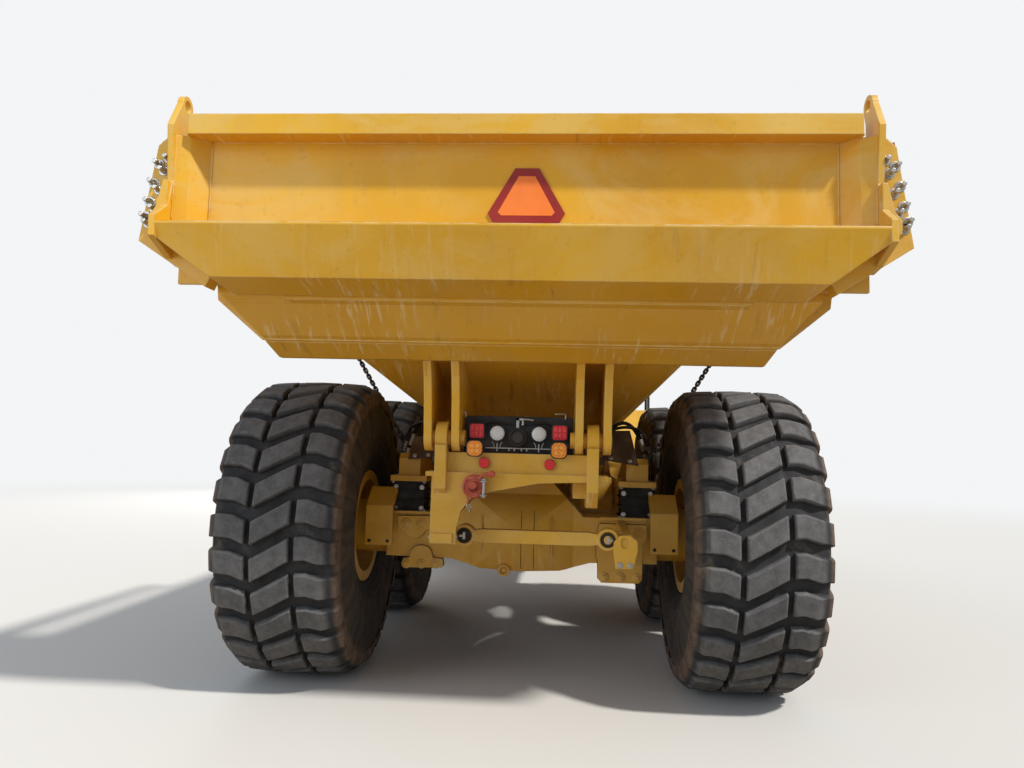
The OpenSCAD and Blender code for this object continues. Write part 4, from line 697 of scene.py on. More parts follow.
@trim("rear_chassis", lamp_lenses=("lens", RED_LENS, AMBER_LENS, MATS["lens"], RED_CELL, AMBER_CELL),
      lamp_bezels=("black_plastic", MATS["black_plastic"], MATS["red_paint"]), lamp_bar=BOLTS,
      lamp_leads=("black_plastic", HOSE))
def lamps(lenses, bezels, bar, leads):
    """Red lamps over amber ones, white lamps, reflectors, backing alarm, wiring bar and leads."""
    x, low, rail = PANEL_X, HINGE_X + 0.002, HINGE_X - 0.01
    for _ in both_sides():
        plate(bezels, 0.235, 1.5625, 0.0475, 0.0475, 0.018, x - 0.06, x - 0.05, 0.003)
        plate(lenses, 0.235, 1.5625, 0.04, 0.04, 0.014, x - 0.068, x - 0.058, 0.004, 2)
        for _, y, z in spread(0, [0.211, 0.235, 0.259], [1.547, 1.578]):
            plate(lenses, y, z, 0.0088, 0.0125, 0.004, x - 0.0725, x - 0.066, 0.001, 1, 3, 2)
        plate(bezels, 0.232, 1.464, 0.0465, 0.0465, 0.03, low - 0.068, low - 0.056, 0.003)
        plate(lenses, 0.232, 1.464, 0.0405, 0.0405, 0.027, low - 0.076, low - 0.066, 0.004, 2, 1)
        for _, y, z in spread(0, [0.217, 0.247], [1.45, 1.478]):
            plate(lenses, y, z, 0.0105, 0.0095, 0.004, low - 0.08, low - 0.074, 0.001, 1, 4, 2)
        white, reflector = (x, 0.118, 1.552), (rail, 0.182, 1.385)
        bezels.turned([(0.03, 0.05), (0.0465, 0.055), (0.0465, 0.066), (0.0405, 0.067)], white, BACK, 32)
        lenses.turned([(0.0405, 0.058), (0.0405, 0.068), (0.034, 0.074), (0.018, 0.078), (0, 0.079)],
                      white, BACK, 32, 2)
        bezels.turned([(0.0305, 0.012), (0.0305, 0.018), (0.028, 0.019)], reflector, BACK, 32, 1)
        lenses.turned([(0.0285, 0.014), (0.0285, 0.019), (0.0265, 0.021), (0, 0.0215)], reflector, BACK, 32)
        # Clips of the bar
        bar.box((x - 0.064, 0.115, 1.45), (x - 0.058, 0.121, 1.496), 0.001)
        for dy in (-0.018, 0.018):
            bar.tube([(x - 0.06, 0.118 + dy, 1.47), (x - 0.062, 0.118 + dy, 1.486),
                      (x - 0.06, 0.118 + dy * 1.6, 1.504)], 0.0025, 6)
        for y in (0.02, 0.05):
            bar.box((x - 0.06, y - 0.004, 1.454), (x - 0.054, y + 0.004, 1.47), 0.001)
        leads.tube([(x + 0.01, 0.235, 1.56), (x + 0.05, 0.26, 1.6), (x + 0.04, 0.285, 1.5),
                    (x + 0.03, 0.28, 1.455)], 0.008, 8)
        leads.tube([(x - 0.02, 0.19, 1.6), (x - 0.035, 0.15, 1.615), (x - 0.03, 0.09, 1.61),
                    (x - 0.02, 0.03, 1.6)], 0.006, 8)
    # Dome of the backing alarm, between the white lamps
    bezels.turned([(0.05, 0.02), (0.052, 0.07), (0.05, 0.082), (0.044, 0.086), (0.04, 0.08), (0.03, 0.092),
                   (0, 0.098)], (x, 0, 1.53), BACK, 32)
    for c, d, _ in around(8):
        bezels.rod((x - 0.085, 0.034 * c, 1.53 + 0.034 * d), (x - 0.089, 0.02 * c, 1.53 + 0.02 * d), 0.003, 6)
    # Bar under the white lamps, and the latch brackets above
    for low, high in (((0.062, -0.185, 1.466), (0.055, 0.185, 1.472)), ((0.05, -0.004, 1.585), (0.044, 0.012, 1.64)),
                      ((0.05, -0.03, 1.628), (0.044, 0.012, 1.64)), ((0.046, -0.03, 1.6), (0.04, -0.018, 1.64))):
        bar.box((x - low[0], *low[1:]), (x - high[0], *high[1:]), 0.001)
    bar.tube([(x - 0.045, -0.02, 1.632), (x - 0.05, -0.05, 1.634), (x - 0.05, -0.085, 1.63)], 0.005, 8)
    for a, b in ((0.345, 0.305), (-0.205, -0.265)):
        bar.tube([(x - 0.03, a, 1.668), (x - 0.035, (a + b) / 2, 1.67), (x - 0.03, b, 1.666), (x - 0.028, b, 1.64)],
                 0.004, 8)


# Bogie: suspension cups, rubber blocks, axle castings and bolts

# Cast pads on the axle arm's face as (outline, bolts) in (y, z): two on one side, then the other side's tall one
PADS = [
    ([(0.79, 1.019), (0.782, 0.946), (0.743, 0.921), (0.722, 0.893), (0.7, 0.884), (0.655, 0.884), (0.63, 0.899),
      (0.607, 0.931), (0.548, 0.949), (0.539, 1.024)], [(0.729, 0.975), (0.634, 0.978)]),
    ([(0.747, 0.751), (0.704, 0.76), (0.692, 0.808), (0.668, 0.83), (0.631, 0.838), (0.592, 0.83), (0.568, 0.808),
      (0.555, 0.762), (0.492, 0.754), (0.486, 0.715), (0.5, 0.702), (0.735, 0.696), (0.75, 0.71)],
     [(0.724, 0.72), (0.626, 0.722), (0.534, 0.725)]),
    ([(0.497, 1.009), (0.792, 1.008), (0.796, 0.918), (0.768, 0.886), (0.767, 0.668), (0.745, 0.646), (0.514, 0.644),
      (0.492, 0.668), (0.49, 0.784), (0.479, 0.8), (0.482, 0.93)],
     [(0.529, 0.681), (0.629, 0.684), (0.734, 0.68), (0.743, 0.965)]),
]


def bogie_details(x, dirn, zinc, cast, dark):
    """dirn is -1 where the outward face looks back, and +1 on the middle axle, turned half round."""
    out, face = (dirn, 0, 0), x + dirn * 0.15
    cup, hanging = AXLE_Z + 0.1123, (dirn, 0, -0.25)
    for side in both_sides():
        for dy in (-0.085, 0.085):
            for z in (cup + 0.016, cup + 0.15):
                zinc.bolt((x + dirn * 0.118, BEAM_Y + dy, z), out, 0.0105)
            zinc.bolt((x + dirn * 0.128, BEAM_Y + dy * 1.2, AXLE_Z + 0.301), DOWN, 0.012)
            zinc.bolt((face, BEAM_Y + dy * 1.3, cup), UP, 0.011)
        # Two dark discs low in the caliper guard, painted shade where its two holes are
        for y in (0.832, 0.948):
            dark.turned([(0.011, -0.002), (0.011, 0.0015), (0, 0.0015)], (x + dirn * 0.2618, y, 0.868), out, 20)
        for outline, bolts in PADS[:2] if side == -dirn else PADS[2:]:
            cast.prism(outline, 0, face - dirn * 0.035, face + dirn * 0.026, 0.008, 3)
            line = [(face + dirn * 0.001, y, z) for y, z in outline]
            dark.tube(line + line[:1], 0.0032, 6, 1)
            for y, z in bolts:
                cast.turned([(0.03, 0), (0.03, 0.006), (0.026, 0.009), (0, 0.009)], (face + dirn * 0.025, y, z), out)
                cast.bolt((face + dirn * 0.033, y, z), out, 0.0165, washer=False)
    # Drain plug in its boss, and the two seams of the rounded cover
    cast.turned([(0.04, -0.02), (0.04, 0.024), (0.036, 0.03), (0.026, 0.03), (0.024, 0.012), (0, 0.012)],
                (face + dirn * 0.004, 0.1, 0.705), hanging, 28)
    cast.bolt((face + dirn * 0.014, 0.1, 0.703), hanging, 0.013, washer=False)

    def cover(y, z, sink):
        return x + dirn * (sqrt(0.43 ** 2 - (z - AXLE_Z) ** 2) - 0.205 - sink), y, z

    for y in (-0.007, -0.087):
        dark.tube([cover(y, z, 0.0005) for z in (0.712, 0.76, 0.81, 0.86, 0.91, 0.96, 1.02, 1.08)], 0.0022, 6)
    for y, sink in ((-0.2, 0.004), (0.245, 0.026)):
        cast.tube([cover(y, z, sink) for z in (0.73, 0.8, 0.88, 0.96, 1.04)], 0.006, 6)


for axle, x, dirn in (("rear_axle", RX, -1), ("mid_axle", MX, 1)):
    looks = {axle + "_bolts": BOLTS, axle + "_castings": "frame_yellow", axle + "_seams": ("frame_yellow", DARK_SEAM_AND_SHADE)}
    trim("rear_chassis", **looks)(lambda *shapes: bogie_details(x, dirn, *shapes))


@trim("rear_chassis", rear_rod_trim="frame_yellow", rear_rod_bushes=("rubber", DARK_SEAM_AND_SHADE), rear_rod_bolts=BOLTS)
def rear_rod(s, k, z):
    """Flat shank, ring eyes and end bolts of the rear axle's lateral rod; a dark disc in each eye is the rubber bush
    and painted shade of the eye's hollow.
    """
    x, high = RX - 0.62, 0.965
    half = [(0.245, 0.03), (0.2, 0.037), (-0.41, 0.037), (-0.462, 0.03)]
    s.prism([(y, high + h) for y, h in half] + [(y, high - h) for y, h in half[::-1]], 0, x - 0.04, x + 0.03, 0.005, 2)
    for y, inward in ((0.3, 1), (-0.52, -1)):
        s.turned([(0.044, 0.03), (0.044, 0.044), (0.048, 0.048), (0.058, 0.048), (0.0635, 0.042), (0.0635, -0.03)],
                 (x, y, high), BACK, 40)
        # Dark disc filling the eye: the bush, and painted shade in the eye's hollow
        k.turned([(0.042, 0.042), (0.042, 0.0462), (0, 0.0462)], (x, y, high), BACK, 32)
        z.box((x - 0.056, y - 0.008, high - 0.02), (x - 0.04, y + 0.008, high + 0.02), 0.004)
        z.rod((x - 0.05, y + inward * 0.007, high), (x - 0.05, y + inward * 0.028, high), 0.009, 12)
    # Clamp block beside the left eye, with its through bolt
    s.box((HINGE_X - 0.052, 0.345, 0.94), (HINGE_X + 0.17, 0.47, 0.992), 0.006, 2)
    z.bolt((HINGE_X + 0.03, 0.47, 0.966), OUTWARD, 0.019)
    z.bolt((HINGE_X + 0.05, 0.345, 0.966), INWARD, 0.017)
    # Bolts of the right bracket's plate
    for y in (-0.588, -0.644):
        z.bolt((x - 0.067, y, 0.83), BACK, 0.011)


@trim("rear_chassis", tow_pin_casting="red_paint", tow_pin_bolt=BOLTS)
def tow_gear(s, b):
    """The red tow pin's cast ring and handle, its silver bolt and keeper chain."""
    x, y, z = HINGE_X - 0.075, 0.232, 1.254
    s.turned([(0.062, -0.03), (0.0635, -0.006), (0.06, 0.008), (0.052, 0.012), (0.046, 0.006), (0.034, 0.004),
              (0.03, 0.016), (0.024, 0.022)], (x, y, z), BACK, 36)
    for c, d, _ in around(5, 0.5):
        s.rod((x + 0.002, y + 0.028 * c, z + 0.028 * d), (x - 0.008, y + 0.055 * c, z + 0.055 * d), 0.006, 8)
    s.tube([(x - 0.002, y - 0.03, z + 0.045), (x - 0.006, y - 0.06, z + 0.066), (x - 0.006, y - 0.1, z + 0.074)],
           0.011)
    s.turned([(0, 0), (0.018, 0.002), (0.02, 0.012), (0.012, 0.018), (0, 0.018)], (x - 0.006, y - 0.1, z + 0.072),
             BACK, 16)
    low, high = (x - 0.012, 0.174, 1.212), (x - 0.012, 0.174, 1.284)
    b.rod(low, high, 0.01, 16)
    b.bolt(high, UP, 0.017)
    b.bolt(low, DOWN, 0.015)
    for link_in, ly, lz, turn in ((s, 0.252, 1.196, 0.3), (s, 0.258, 1.172, 1.4), (b, 0.254, 1.148, 0.2),
                                  (b, 0.248, 1.126, 1.5)):
        link_in.ring((x - 0.002, ly, lz), (cos(turn), sin(turn), 0.1), 0.0135, 0.0035, 0.72)


@trim("rear_chassis", suspension_guards=("dark_paint", BROWN), guard_bolts=BOLTS)
def guards(s, z):
    """Sloped brown guards over the suspension cups, with their brackets."""
    x = RX - 0.1
    for _, low, high in zip(both_sides(), ([(0.735, 1.384), (0.56, 1.398)], [(0.736, 1.38), (0.505, 1.412)]),
                            ([(0.579, 1.528), (0.717, 1.525)], [(0.546, 1.596), (0.69, 1.599)])):
        pts = [Vector((x - 0.075, *p)) for p in low] + [Vector((x + 0.045, *p)) for p in high]
        n = (pts[1] - pts[0]).cross(pts[2] - pts[1]).normalized() * 0.006
        s.add([mirrored(p + n) for p in pts] + [mirrored(p - n) for p in pts],
              [(0, 1, 2, 3), (7, 6, 5, 4), (0, 4, 5, 1), (1, 5, 6, 2), (2, 6, 7, 3), (3, 7, 4, 0)], 0.003)
        y, h = low[1]
        s.box((x - 0.085, 0.4, h - 0.035), (x - 0.07, y + 0.02, h + 0.012))
        for t in (0.25, 0.75):
            z.bolt(pts[0].lerp(pts[1], t) + Vector((-0.004, 0, 0.018)), (-0.8, 0, 0.6), 0.01)


@trim("rear_chassis", bogie_hoses=("black_plastic", HOSE), hose_fittings=BOLTS)
def hoses(h, z):
    """Brake and hoist hoses between rail, axle and tyre, with bright fittings."""
    x = RX
    for _ in both_sides():
        h.tube([(x + 0.14, 0.8, 1.02), (x + 0.2, 0.85, 1.16), (x + 0.26, 0.84, 1.36), (x + 0.3, 0.79, 1.56),
                (x + 0.22, 0.66, 1.66), (x + 0.16, 0.42, 1.5)], 0.013)
        h.tube([(x + 0.12, 0.86, 1.04), (x + 0.24, 0.88, 1.2), (x + 0.3, 0.87, 1.42), (x + 0.28, 0.8, 1.6),
                (x + 0.16, 0.62, 1.62), (x + 0.12, 0.4, 1.48)], 0.011)
        for a, b, r in (((x + 0.262, 0.84, 1.37), (x + 0.278, 0.825, 1.45), 0.0185),
                        ((x + 0.286, 0.82, 1.47), (x + 0.298, 0.795, 1.55), 0.0185),
                        ((x + 0.3, 0.865, 1.43), (x + 0.298, 0.845, 1.5), 0.0185),
                        ((x + 0.13, 0.8, 0.99), (x + 0.142, 0.8, 1.03), 0.019),
                        ((MX + 0.12, 0.805, 1.005), (MX + 0.16, 0.797, 0.993), 0.019)):
            z.rod(a, b, r, 6)
        z.bolt((x + 0.3, 0.8, 1.58), (0, 1, 0.3), 0.018)
        # On the middle axle the hoses pass below the swinging hoist barrel
        for m, r in ((MX, 0.013), (MX + 0.045, 0.011)):
            h.tube([(m + 0.14, 0.8, 1.00), (m + 0.27, 0.77, 0.95), (m + 0.4, 0.66, 0.9), (m + 0.5, 0.53, 0.885),
                    (m + 0.57, 0.415, 0.96), (m + 0.58, 0.4, 1.2)], r)


@trim("hoist_barrels", hoist_pipes="frame_yellow", hoist_unions=BOLTS)
def hoist_pipes(p, u):
    """A hard pipe with two unions along the middle line of each hoist barrel."""
    low, high = -2.78, -1.14
    for _ in both_sides():
        line = [(x, FAR, 0.94 - (x + 0.941) * 0.277) for x in steps(low, high, 0.1)]
        line_on(p, "hoist_barrels", line, INWARD, 0.008, 0.01, 0.12)
        for end in (line[0], line[-1]):
            u.turned([(0.017, -0.002), (0.017, 0.014), (0.012, 0.018), (0, 0.018)],
                     *on("hoist_barrels", end, INWARD), 6)


# Tractor: bumper, frame, fenders, steps and rails

@trim("tractor", front_lamp_lenses="lens", front_rubber_trim="black_plastic", front_bolts=BOLTS)
def front_trim(g, k, z):
    """Lamps and bolts of bumper and frame, the fenders' lips and strips, handrail feet, ribs of the step treads."""
    for _ in both_sides():
        for y in (0.865, 0.715):
            g.turned([(0.057, -0.006), (0.057, 0.003), (0.046, 0.01), (0.022, 0.014), (0, 0.015)], (5.386, y, 1.0),
                     FRONT, 32)
            k.turned([(0.064, -0.05), (0.066, 0), (0.062, 0.006), (0.057, 0.004)], (5.386, y, 1.0), FRONT, 32)
        bolts_on(z, "front_bumper", spread([5.2, 5.3], FAR, [0.8, 1.1]), INWARD, 0.014)
        bolts_on(z, "front_frame", spread(steps(1.55, 4.95, 0.34), FAR, [1.24, 1.42]), INWARD, 0.013)
        # Fenders: rubber lip, edge bolts and anti-slip strips
        k.tube([(x, 1.658, h) for x, h in ((1.4, 1.512), (1.798, 2.036), (3.488, 2.036), (3.716, 1.706))], 0.014, 8, 1)
        bolts_on(z, "front_fenders", spread(steps(1.86, 3.44, 0.26), 1.61, 4), DOWN, 0.011)
        for x in steps(1.9, 3.3, 0.035):
            at, _ = on("front_fenders", (x, 1.42, 4), DOWN)
            if at is not None and at.z < 2.1:
                k.box((x - 0.007, 1.32, at.z - 0.002), (x + 0.007, 1.52, at.z + 0.004), 0.001)
        # Handrail feet
        for at in ((5.278, 1.18, 1.2), (3.038, 1.6, 2.045), (3.398, 1.6, 2.045)):
            k.turned([(0.046, 0), (0.046, 0.008), (0.04, 0.012), (0.02, 0.013)], at, UP)
        # Step treads: punched ribs
        for tread in (0.47, 0.86, 1.25, 1.64):
            for x in steps(3.78, 4.26, 0.032):
                at, _ = on("cab_steps", (x, 1.3, tread + 0.12), DOWN)
                if at is not None and abs(at.z - tread) < 0.08:
                    k.box((x - 0.005, 1.2, at.z - 0.002), (x + 0.005, 1.4, at.z + 0.006), 0.001)
    bolts_on(z, "front_bumper", spread(6, [-0.95, -0.62, -0.28, 0.28, 0.62, 0.95], [0.76, 1.14]), BACK, 0.014)


@trim("tractor", tank_seams=("yellow", DARK_SEAM_AND_SHADE), tank_fittings="black_plastic", tank_bands=BOLTS)
def tank_trim(m, k, z):
    """Fuel tank straps, filler and drain; battery box lid, latches and handle; exhaust and air cleaner bands."""
    for x in (3.86, 4.64):
        strap = [(-0.6, 1.422), (-1.395, 1.422), (-1.402, 1.415), (-1.402, 0.725), (-1.395, 0.718), (-0.6, 0.718)]
        for (y0, z0), (y1, z1) in zip(strap, strap[1:]):
            k.box((x - 0.028, min(y0, y1) - 0.003, min(z0, z1) - 0.003),
                  (x + 0.028, max(y0, y1) + 0.003, max(z0, z1) + 0.003), 0.001)
        z.rod((x, -1.412, 1.00), (x, -1.412, 1.14), 0.009, 10)
        z.bolt((x, -1.412, 1.14), UP, 0.013)
    at, _ = on("side_tanks", (4.25, -1.18, 2.0), DOWN)
    k.turned([(0.062, 0), (0.062, 0.022), (0.074, 0.026), (0.074, 0.056), (0.066, 0.064), (0, 0.066)], at, UP, 32)
    k.box((at.x - 0.055, at.y - 0.01, at.z + 0.062), (at.x + 0.055, at.y + 0.01, at.z + 0.078), 0.004)
    k.rod((4.25, -1.3, 0.7), (4.25, -1.3, 0.722), 0.026, 6)
    # Battery box: lid seam, latches, and louvre slots drawn as dark lines, painted shade of the slots
    line_on(m, "side_tanks", spread(steps(4.37, 4.945), FAR, 1.265), INWARD, 0.003)
    for x in (4.5, 4.82):
        y = on("side_tanks", (x, FAR, 1.24), INWARD)[0].y
        k.box((x - 0.016, y - 0.002, 1.205), (x + 0.016, y + 0.014, 1.3), 0.003)
        z.rod((x, y + 0.01, 1.21), (x, y + 0.01, 1.26), 0.006, 8)
    for h in steps(0.84, 1.04, 0.035):
        line_on(m, "side_tanks", spread(steps(4.5, 4.82), FAR, h), INWARD, 0.004)
    # Bands of silencer, its outlet and the air cleaner; the cleaner's catches
    silencer, cleaner, y = 3.258, 2.778, -1.18
    for x, h, r, half in ((silencer, 2.17, 0.15, 0.018), (silencer, 2.72, 0.15, 0.018), (cleaner, 2.2, 0.17, 0.016),
                          (cleaner, 2.56, 0.17, 0.016)):
        edge = half - 0.003
        z.turned([(r, -half), (r + 0.006, -edge), (r + 0.006, edge), (r, half)], (x, y, h), UP, 40)
        if x == silencer:
            z.bolt((x, y - 0.165, h), FRONT, 0.011)
    z.turned([(0.062, -0.02), (0.07, -0.018), (0.07, 0.018), (0.062, 0.02)], (silencer, y, 2.9), UP, 32)
    for c, d, _ in around(4, 0.6):
        a, b = cleaner + 0.173 * c, y + 0.173 * d
        z.box((a - 0.01, b - 0.01, 2.35), (a + 0.01, b + 0.01, 2.43))


@trim("hood", hood_seams=("yellow", DARK_SEAM_AND_SHADE), hood_fittings="black_plastic", hood_bolts=BOLTS)
def hood_trim(m, k, z):
    """Panel seams, louvres on a black backing sheet that is painted shade of the hood's inside, catches and grab
    handles of the tilting hood.
    """
    for x in (4.06, 5.1):
        line_on(m, "hood", spread(x, steps(-0.62, 0.62), 5), DOWN, 0.0028)
    for _ in both_sides():
        for x in (4.06, 5.1):
            line_on(m, "hood", spread(x, FAR, steps(1.53, 2.7)), INWARD, 0.0028)
        line_on(m, "hood", spread(steps(3.6, 5.05), 0.4, 5), DOWN, 0.0028)
        y = on("hood", (4.55, FAR, 1.95), INWARD)[0].y
        # Black sheet behind the louvre blades: painted shade of the hood's inside
        k.box((4.2, y - 0.003, 1.7), (4.96, y + 0.002, 2.18), 0.0)
        a, b = y + 0.001, y + 0.016
        for h in steps(1.73, 2.15, 0.042):
            k.add([mirrored(p) for p in ((4.215, a, h + 0.026), (4.945, a, h + 0.026), (4.945, b, h), (4.215, b, h),
                                         (4.215, a, h - 0.004), (4.945, a, h - 0.004))],
                  [(0, 1, 2, 3), (3, 2, 5, 4), (0, 3, 4), (1, 5, 2), (0, 4, 5, 1)])
        for x in (3.72, 5.3):
            at, normal = on("hood", (x, FAR, 1.62), INWARD)
            k.turned([(0.03, -0.002), (0.03, 0.008), (0.022, 0.014), (0, 0.014)], at, normal)
            k.box((x - 0.008, at.y, 1.595), (x + 0.008, at.y + 0.026, 1.645), 0.003)
        y = on("hood", (5.28, FAR, 2.1), INWARD)[0].y
        k.tube([(5.16, y - 0.004, 2.1), (5.17, y + 0.036, 2.1), (5.37, y + 0.036, 2.1), (5.38, y - 0.004, 2.1)],
               0.01, 8)
    bolts_on(z, "hood", spread(6, [-0.54, 0.54], [1.6, 1.82, 2.05]), BACK, 0.01)


# Cab: gaskets, wipers, handle, roof ribs, mirror glass, dashboard

def gasket(shape, node, xs, ys, zs, way, r=0.007):
    """A line round a pane's rectangle; the two of xs, ys and zs that vary are pairs of ends."""
    across = 0 if isinstance(xs, tuple) else 1
    ends = (xs, ys)[across]
    for z in zs:
        run = steps(*ends)
        line_on(shape, node, spread(run, ys, z) if across == 0 else spread(xs, run, z), way, r)
    for a in ends:
        run = steps(*zs)
        line_on(shape, node, spread(a, ys, run) if across == 0 else spread(xs, a, run), way, r)


@trim("tractor", cab_gaskets="black_plastic")
def cab_trim(k):
    """Gaskets of windscreen and rear window, wiper, mirror rods, column stalks and dashboard display."""
    gasket(k, "cab_shell", 5, (-0.757, 0.757), (2.478, 3.577), BACK, 0.008)
    gasket(k, "cab_shell", 0.5, (-0.737, 0.737), (2.6, 3.45), FRONT)

    def off_pane(y, h, gap):
        return 3.498 - (h - 2.485) * 0.1014 + gap, y, h

    k.turned([(0.022, -0.02), (0.022, 0.022), (0.014, 0.028), (0, 0.028)], (3.496, 0.1, 2.44), FRONT, 20)
    k.tube([(3.52, 0.1, 2.44), off_pane(0.22, 2.75, 0.03), off_pane(0.34, 3.05, 0.022)], 0.007, 8)
    k.tube([off_pane(0.42, 2.72, 0.012), off_pane(0.345, 3.05, 0.014), off_pane(0.27, 3.38, 0.012)], 0.006, 8)
    for _ in both_sides():
        k.tube([(3.64, 1.38, 3.03), (3.64, 1.38, 3.39)], 0.006, 8, 1)
        k.tube([(3.06, 0.02, 2.8), (3.03, 0.12, 2.8), (3.02, 0.19, 2.81)], 0.008, 8)
    at, _ = on("cab_controls", (3.28, 0.36, 4.0), DOWN)
    k.prism([(at.x - 0.03, at.z - 0.01), (at.x + 0.06, at.z - 0.01), (at.x + 0.04, at.z + 0.16),
             (at.x + 0.01, at.z + 0.16)], 1, 0.27, 0.45, 0.006, 2)


@trim("door", door_fittings="black_plastic")
def door_trim(d):
    """Gasket, handle and lock of the cab door."""
    gasket(d, "cab_door", (2.44, 3.206), FAR, (2.487, 3.458), INWARD)
    y, h = on("cab_door", (3.2, FAR, 2.36), INWARD)[0].y, 2.368
    d.box((3.11, y - 0.002, 2.335), (3.235, y + 0.01, 2.4), 0.004)
    d.tube([(3.125, y + 0.006, h), (3.135, y + 0.034, h), (3.21, y + 0.034, h), (3.22, y + 0.006, h)], 0.008, 8)
    d.turned([(0.012, 0), (0.012, 0.006), (0, 0.006)], (3.09, y, h), OUTWARD, 16)


@trim("tractor", mirror_glass=("bright_steel", MIRROR), roof_ribs="yellow")
def mirrors_and_roof(z, r):
    """Mirror glass and the roof's stiffening ribs."""
    for _ in both_sides():
        z.box((3.6225, 1.387, 3.025), (3.6275, 1.613, 3.395), 0.003)
    for y in (-0.42, 0.0, 0.42):
        top = on("cab_shell", (2.6, y, 5), DOWN)[0].z
        r.prism([(y - 0.06, top - 0.01), (y - 0.04, top + 0.01), (y + 0.04, top + 0.01), (y + 0.06, top - 0.01)],
                0, 1.95, 3.22, 0.004, 2)


# Seat: two crowned pads with sewn channels and piping, on a sprung base

def pad(name, centre, long, wide, thick, lean, channels_x, channels_y=(-0.52, 0.52), pull=0.045, crown=0.3):
    """A closed cushion: long along X, wide along Y, crowned along Z, then leaned about Y."""
    s, n = Shape(), 44
    turn = Matrix.Translation(centre) @ Matrix.Rotation(lean, 4, "Y")

    def place(u, v, up):
        rim = max(0.0, (1 - abs(u) ** 5) * (1 - abs(v) ** 5)) ** 0.42
        gaps = [v - at for at in channels_y] + [u - at for at in channels_x]
        groove = 0.13 * sum(exp(-(d / 0.035) ** 2) for d in gaps)
        body = (0.5 + crown * (1 - u * u) * (1 - v * v) - groove) if up > 0 else 0.46
        return turn @ Vector((long / 2 * u * (1 - pull * (1 - v * v)), wide / 2 * v * (1 - pull * (1 - u * u)),
                              up * thick * body * rim - thick * crown * 0.35))

    marks = [sin(pi / 2 * (2 * i / n - 1)) for i in range(n + 1)]
    verts = [place(u, v, up) for up in (1, -1) for u in marks for v in marks]
    sheet = quads(n + 1, n + 1, wrap=False)
    s.add(verts, sheet + [tuple(i + len(marks) ** 2 for i in f) for f in sheet])
    bmesh.ops.remove_doubles(s.bm, verts=s.bm.verts[:], dist=1e-5)
    piping = []
    for c, d, _ in around(64):
        k = 0.985 / max(abs(c), abs(d))
        piping.append(place(c * k, d * k, 1) * 0.5 + place(c * k, d * k, -1) * 0.5)
    s.tube(piping + piping[:1], 0.0045, 8, 1, 1)
    obj = s.make(name, "tractor", "seat_cloth", MATS["seat_cloth"], MATS["black_plastic"], smooth=60.0)
    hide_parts("driver_seat")


def seat():
    pad("seat_cushion", (2.172, 0, 2.38), 0.5, 0.51, 0.135, 0.0, (0.25,))
    pad("seat_back", (1.965, 0, 2.8), 0.72, 0.47, 0.1, radians(86.5), (0.15, -0.42))
    b = Shape()
    b.box((1.985, -0.215, 2.27), (2.375, 0.215, 2.318), 0.012, 2)
    for h in (2.075, 2.115, 2.155, 2.195, 2.235):
        b.box((2.015, -0.185, h), (2.345, 0.185, h + 0.02), 0.008, 2)
        b.box((2.03, -0.17, h + 0.018), (2.33, 0.17, h + 0.042), 0.004)
    b.box((1.97, -0.219, 2.056), (2.386, 0.219, 2.08), 0.006, 2)
    for _ in both_sides():
        b.tube([(2.00, 0.232, 2.44), (1.99, 0.245, 2.58), (2.02, 0.247, 2.66), (2.24, 0.247, 2.665)], 0.014, 8)
    obj = b.make("seat_base", "tractor", "black_plastic")
    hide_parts("driver_seat")


seat()


# Bed: weld beads under the rails and at the ribs

@trim("bed", bed_beads="yellow")
def bed_trim(w):
    for _ in both_sides():
        line_on(w, "bed_shell", spread(steps(-4.95, 0.55, 0.1), FAR, 2.812), INWARD, 0.006, jump=0.12)
        for x in (-0.69, -1.52, -2.35, -3.18, -4.02):
            line_on(w, "bed_shell", spread(x, FAR, steps(1.66, 2.8)), INWARD, 0.0035)


# View: camera, lamps, floor

BACKDROP = (0.9, 0.91, 0.92)


def camera():
    yaw, pitch, roll = (radians(a) for a in (3.58, 4.7, 1.51))
    cam = bpy.data.cameras.new("camera")
    cam.lens, cam.sensor_width, cam.clip_end = 26.96, 36.0, 500.0
    obj = link("camera", cam)
    obj.matrix_world = (Matrix.Translation((-8.897, -0.229, 1.476)) @ Matrix.Rotation(yaw - pi / 2, 4, "Z")
                        @ Matrix.Rotation(pi / 2 + pitch, 4, "X") @ Matrix.Rotation(roll, 4, "Z"))
    bpy.context.scene.camera = obj


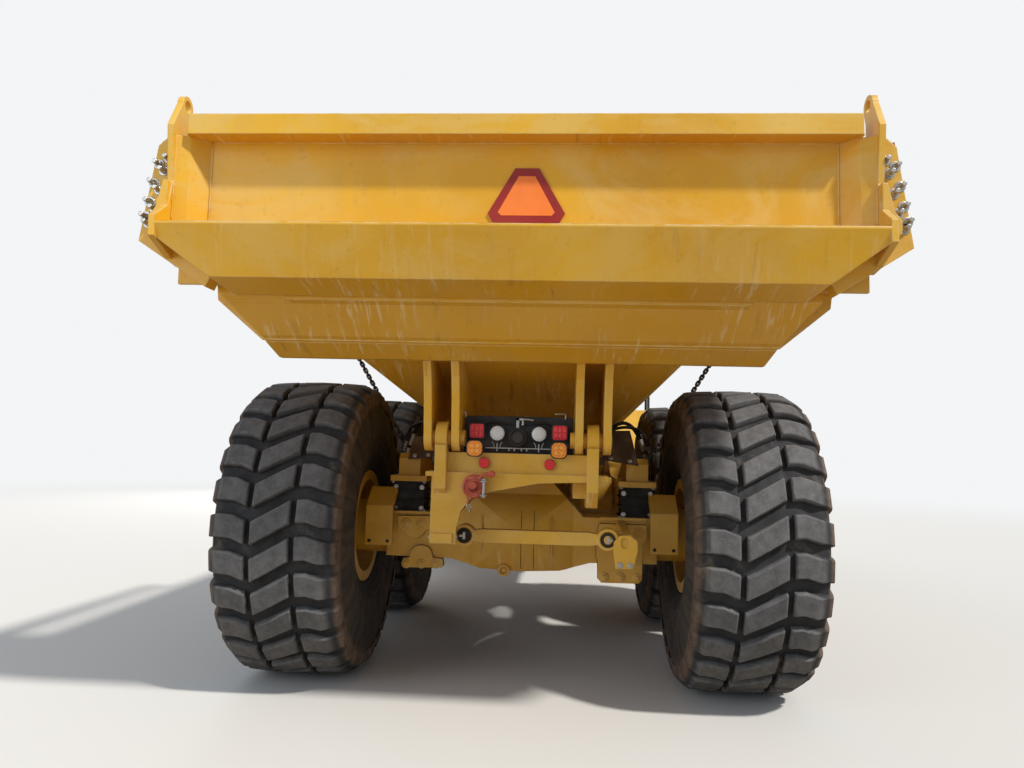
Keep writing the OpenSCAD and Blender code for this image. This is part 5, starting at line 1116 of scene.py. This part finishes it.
def lamp(name, kind, at, target, size, strength, tint=(1, 1, 1)):
    """A lamp aimed at the target; size is a side in metres, or an angle for the sun."""
    light = bpy.data.lights.new(name, kind)
    setattr(light, "angle" if kind == "SUN" else "size", size)
    light.energy, light.color = strength, tint
    obj = link(name, light, at)
    obj.rotation_euler = (Vector(target) - obj.location).to_track_quat("-Z", "Y").to_euler()


def world():
    """The backdrop for the camera's own rays and through glass; a soft sky for the rest."""
    w = bpy.data.worlds.new("studio")
    bpy.context.scene.world = w
    w.use_nodes = True
    w.node_tree.nodes.clear()
    t = Nodes(w.node_tree)
    path = t.node("ShaderNodeLightPath").outputs
    seen = t.node("ShaderNodeMath", path["Is Camera Ray"], path["Is Transmission Ray"], operation="MAXIMUM").outputs[0]
    sky = t.node("ShaderNodeBackground", (0.82, 0.9, 1.0), 0.5).outputs[0]
    backdrop = t.node("ShaderNodeBackground", BACKDROP).outputs[0]
    t.node("ShaderNodeOutputWorld", t.node("ShaderNodeMixShader", seen, sky, backdrop).outputs[0])


def floor(n=90.0):
    """Pale near the truck and one with the backdrop further off; it throws back a sandy light."""
    mesh = bpy.data.meshes.new("floor")
    mesh.from_pydata([(-n, -n, 0), (n, -n, 0), (n, n, 0), (-n, n, 0)], [], [(0, 1, 2, 3)])
    s = Shader("floor_pale", 0.95)
    view = s.node("ShaderNodeLightPath").outputs["Is Camera Ray"]
    s.color(s.mix(view, (0.4, 0.355, 0.295), (0.69, 0.68, 0.66)))
    s.set("Specular IOR Level", 0.1)
    glow = s.node("ShaderNodeEmission", BACKDROP).outputs[0]
    fade = s.times(view, s.span(s.far(s.x, s.y), 8.5, 24.0))
    mix = s.node("ShaderNodeMixShader", fade, s.bsdf.outputs[0], glow).outputs[0]
    s.feed(s.tree.nodes["Material Output"].inputs[0], mix)
    mesh.materials.append(s.mat)
    link("floor", mesh)


camera()
world()
floor()
# A far, slightly soft key from high behind the right side lights the floor evenly
lamp("key", "SUN", (-11.5, -9.5, 15.5), (-4.5, 0, 1.6), radians(4), 3.2, (1.0, 0.955, 0.88))
lamp("fill", "AREA", (-12, 8, 4), (-4.5, 0, 1.4), 6, 260, (0.9, 0.95, 1.0))
lamp("front_fill", "AREA", (14, 7, 6), (3, 0, 1.6), 6, 500)
bpy.context.scene.view_settings.view_transform = "Standard"
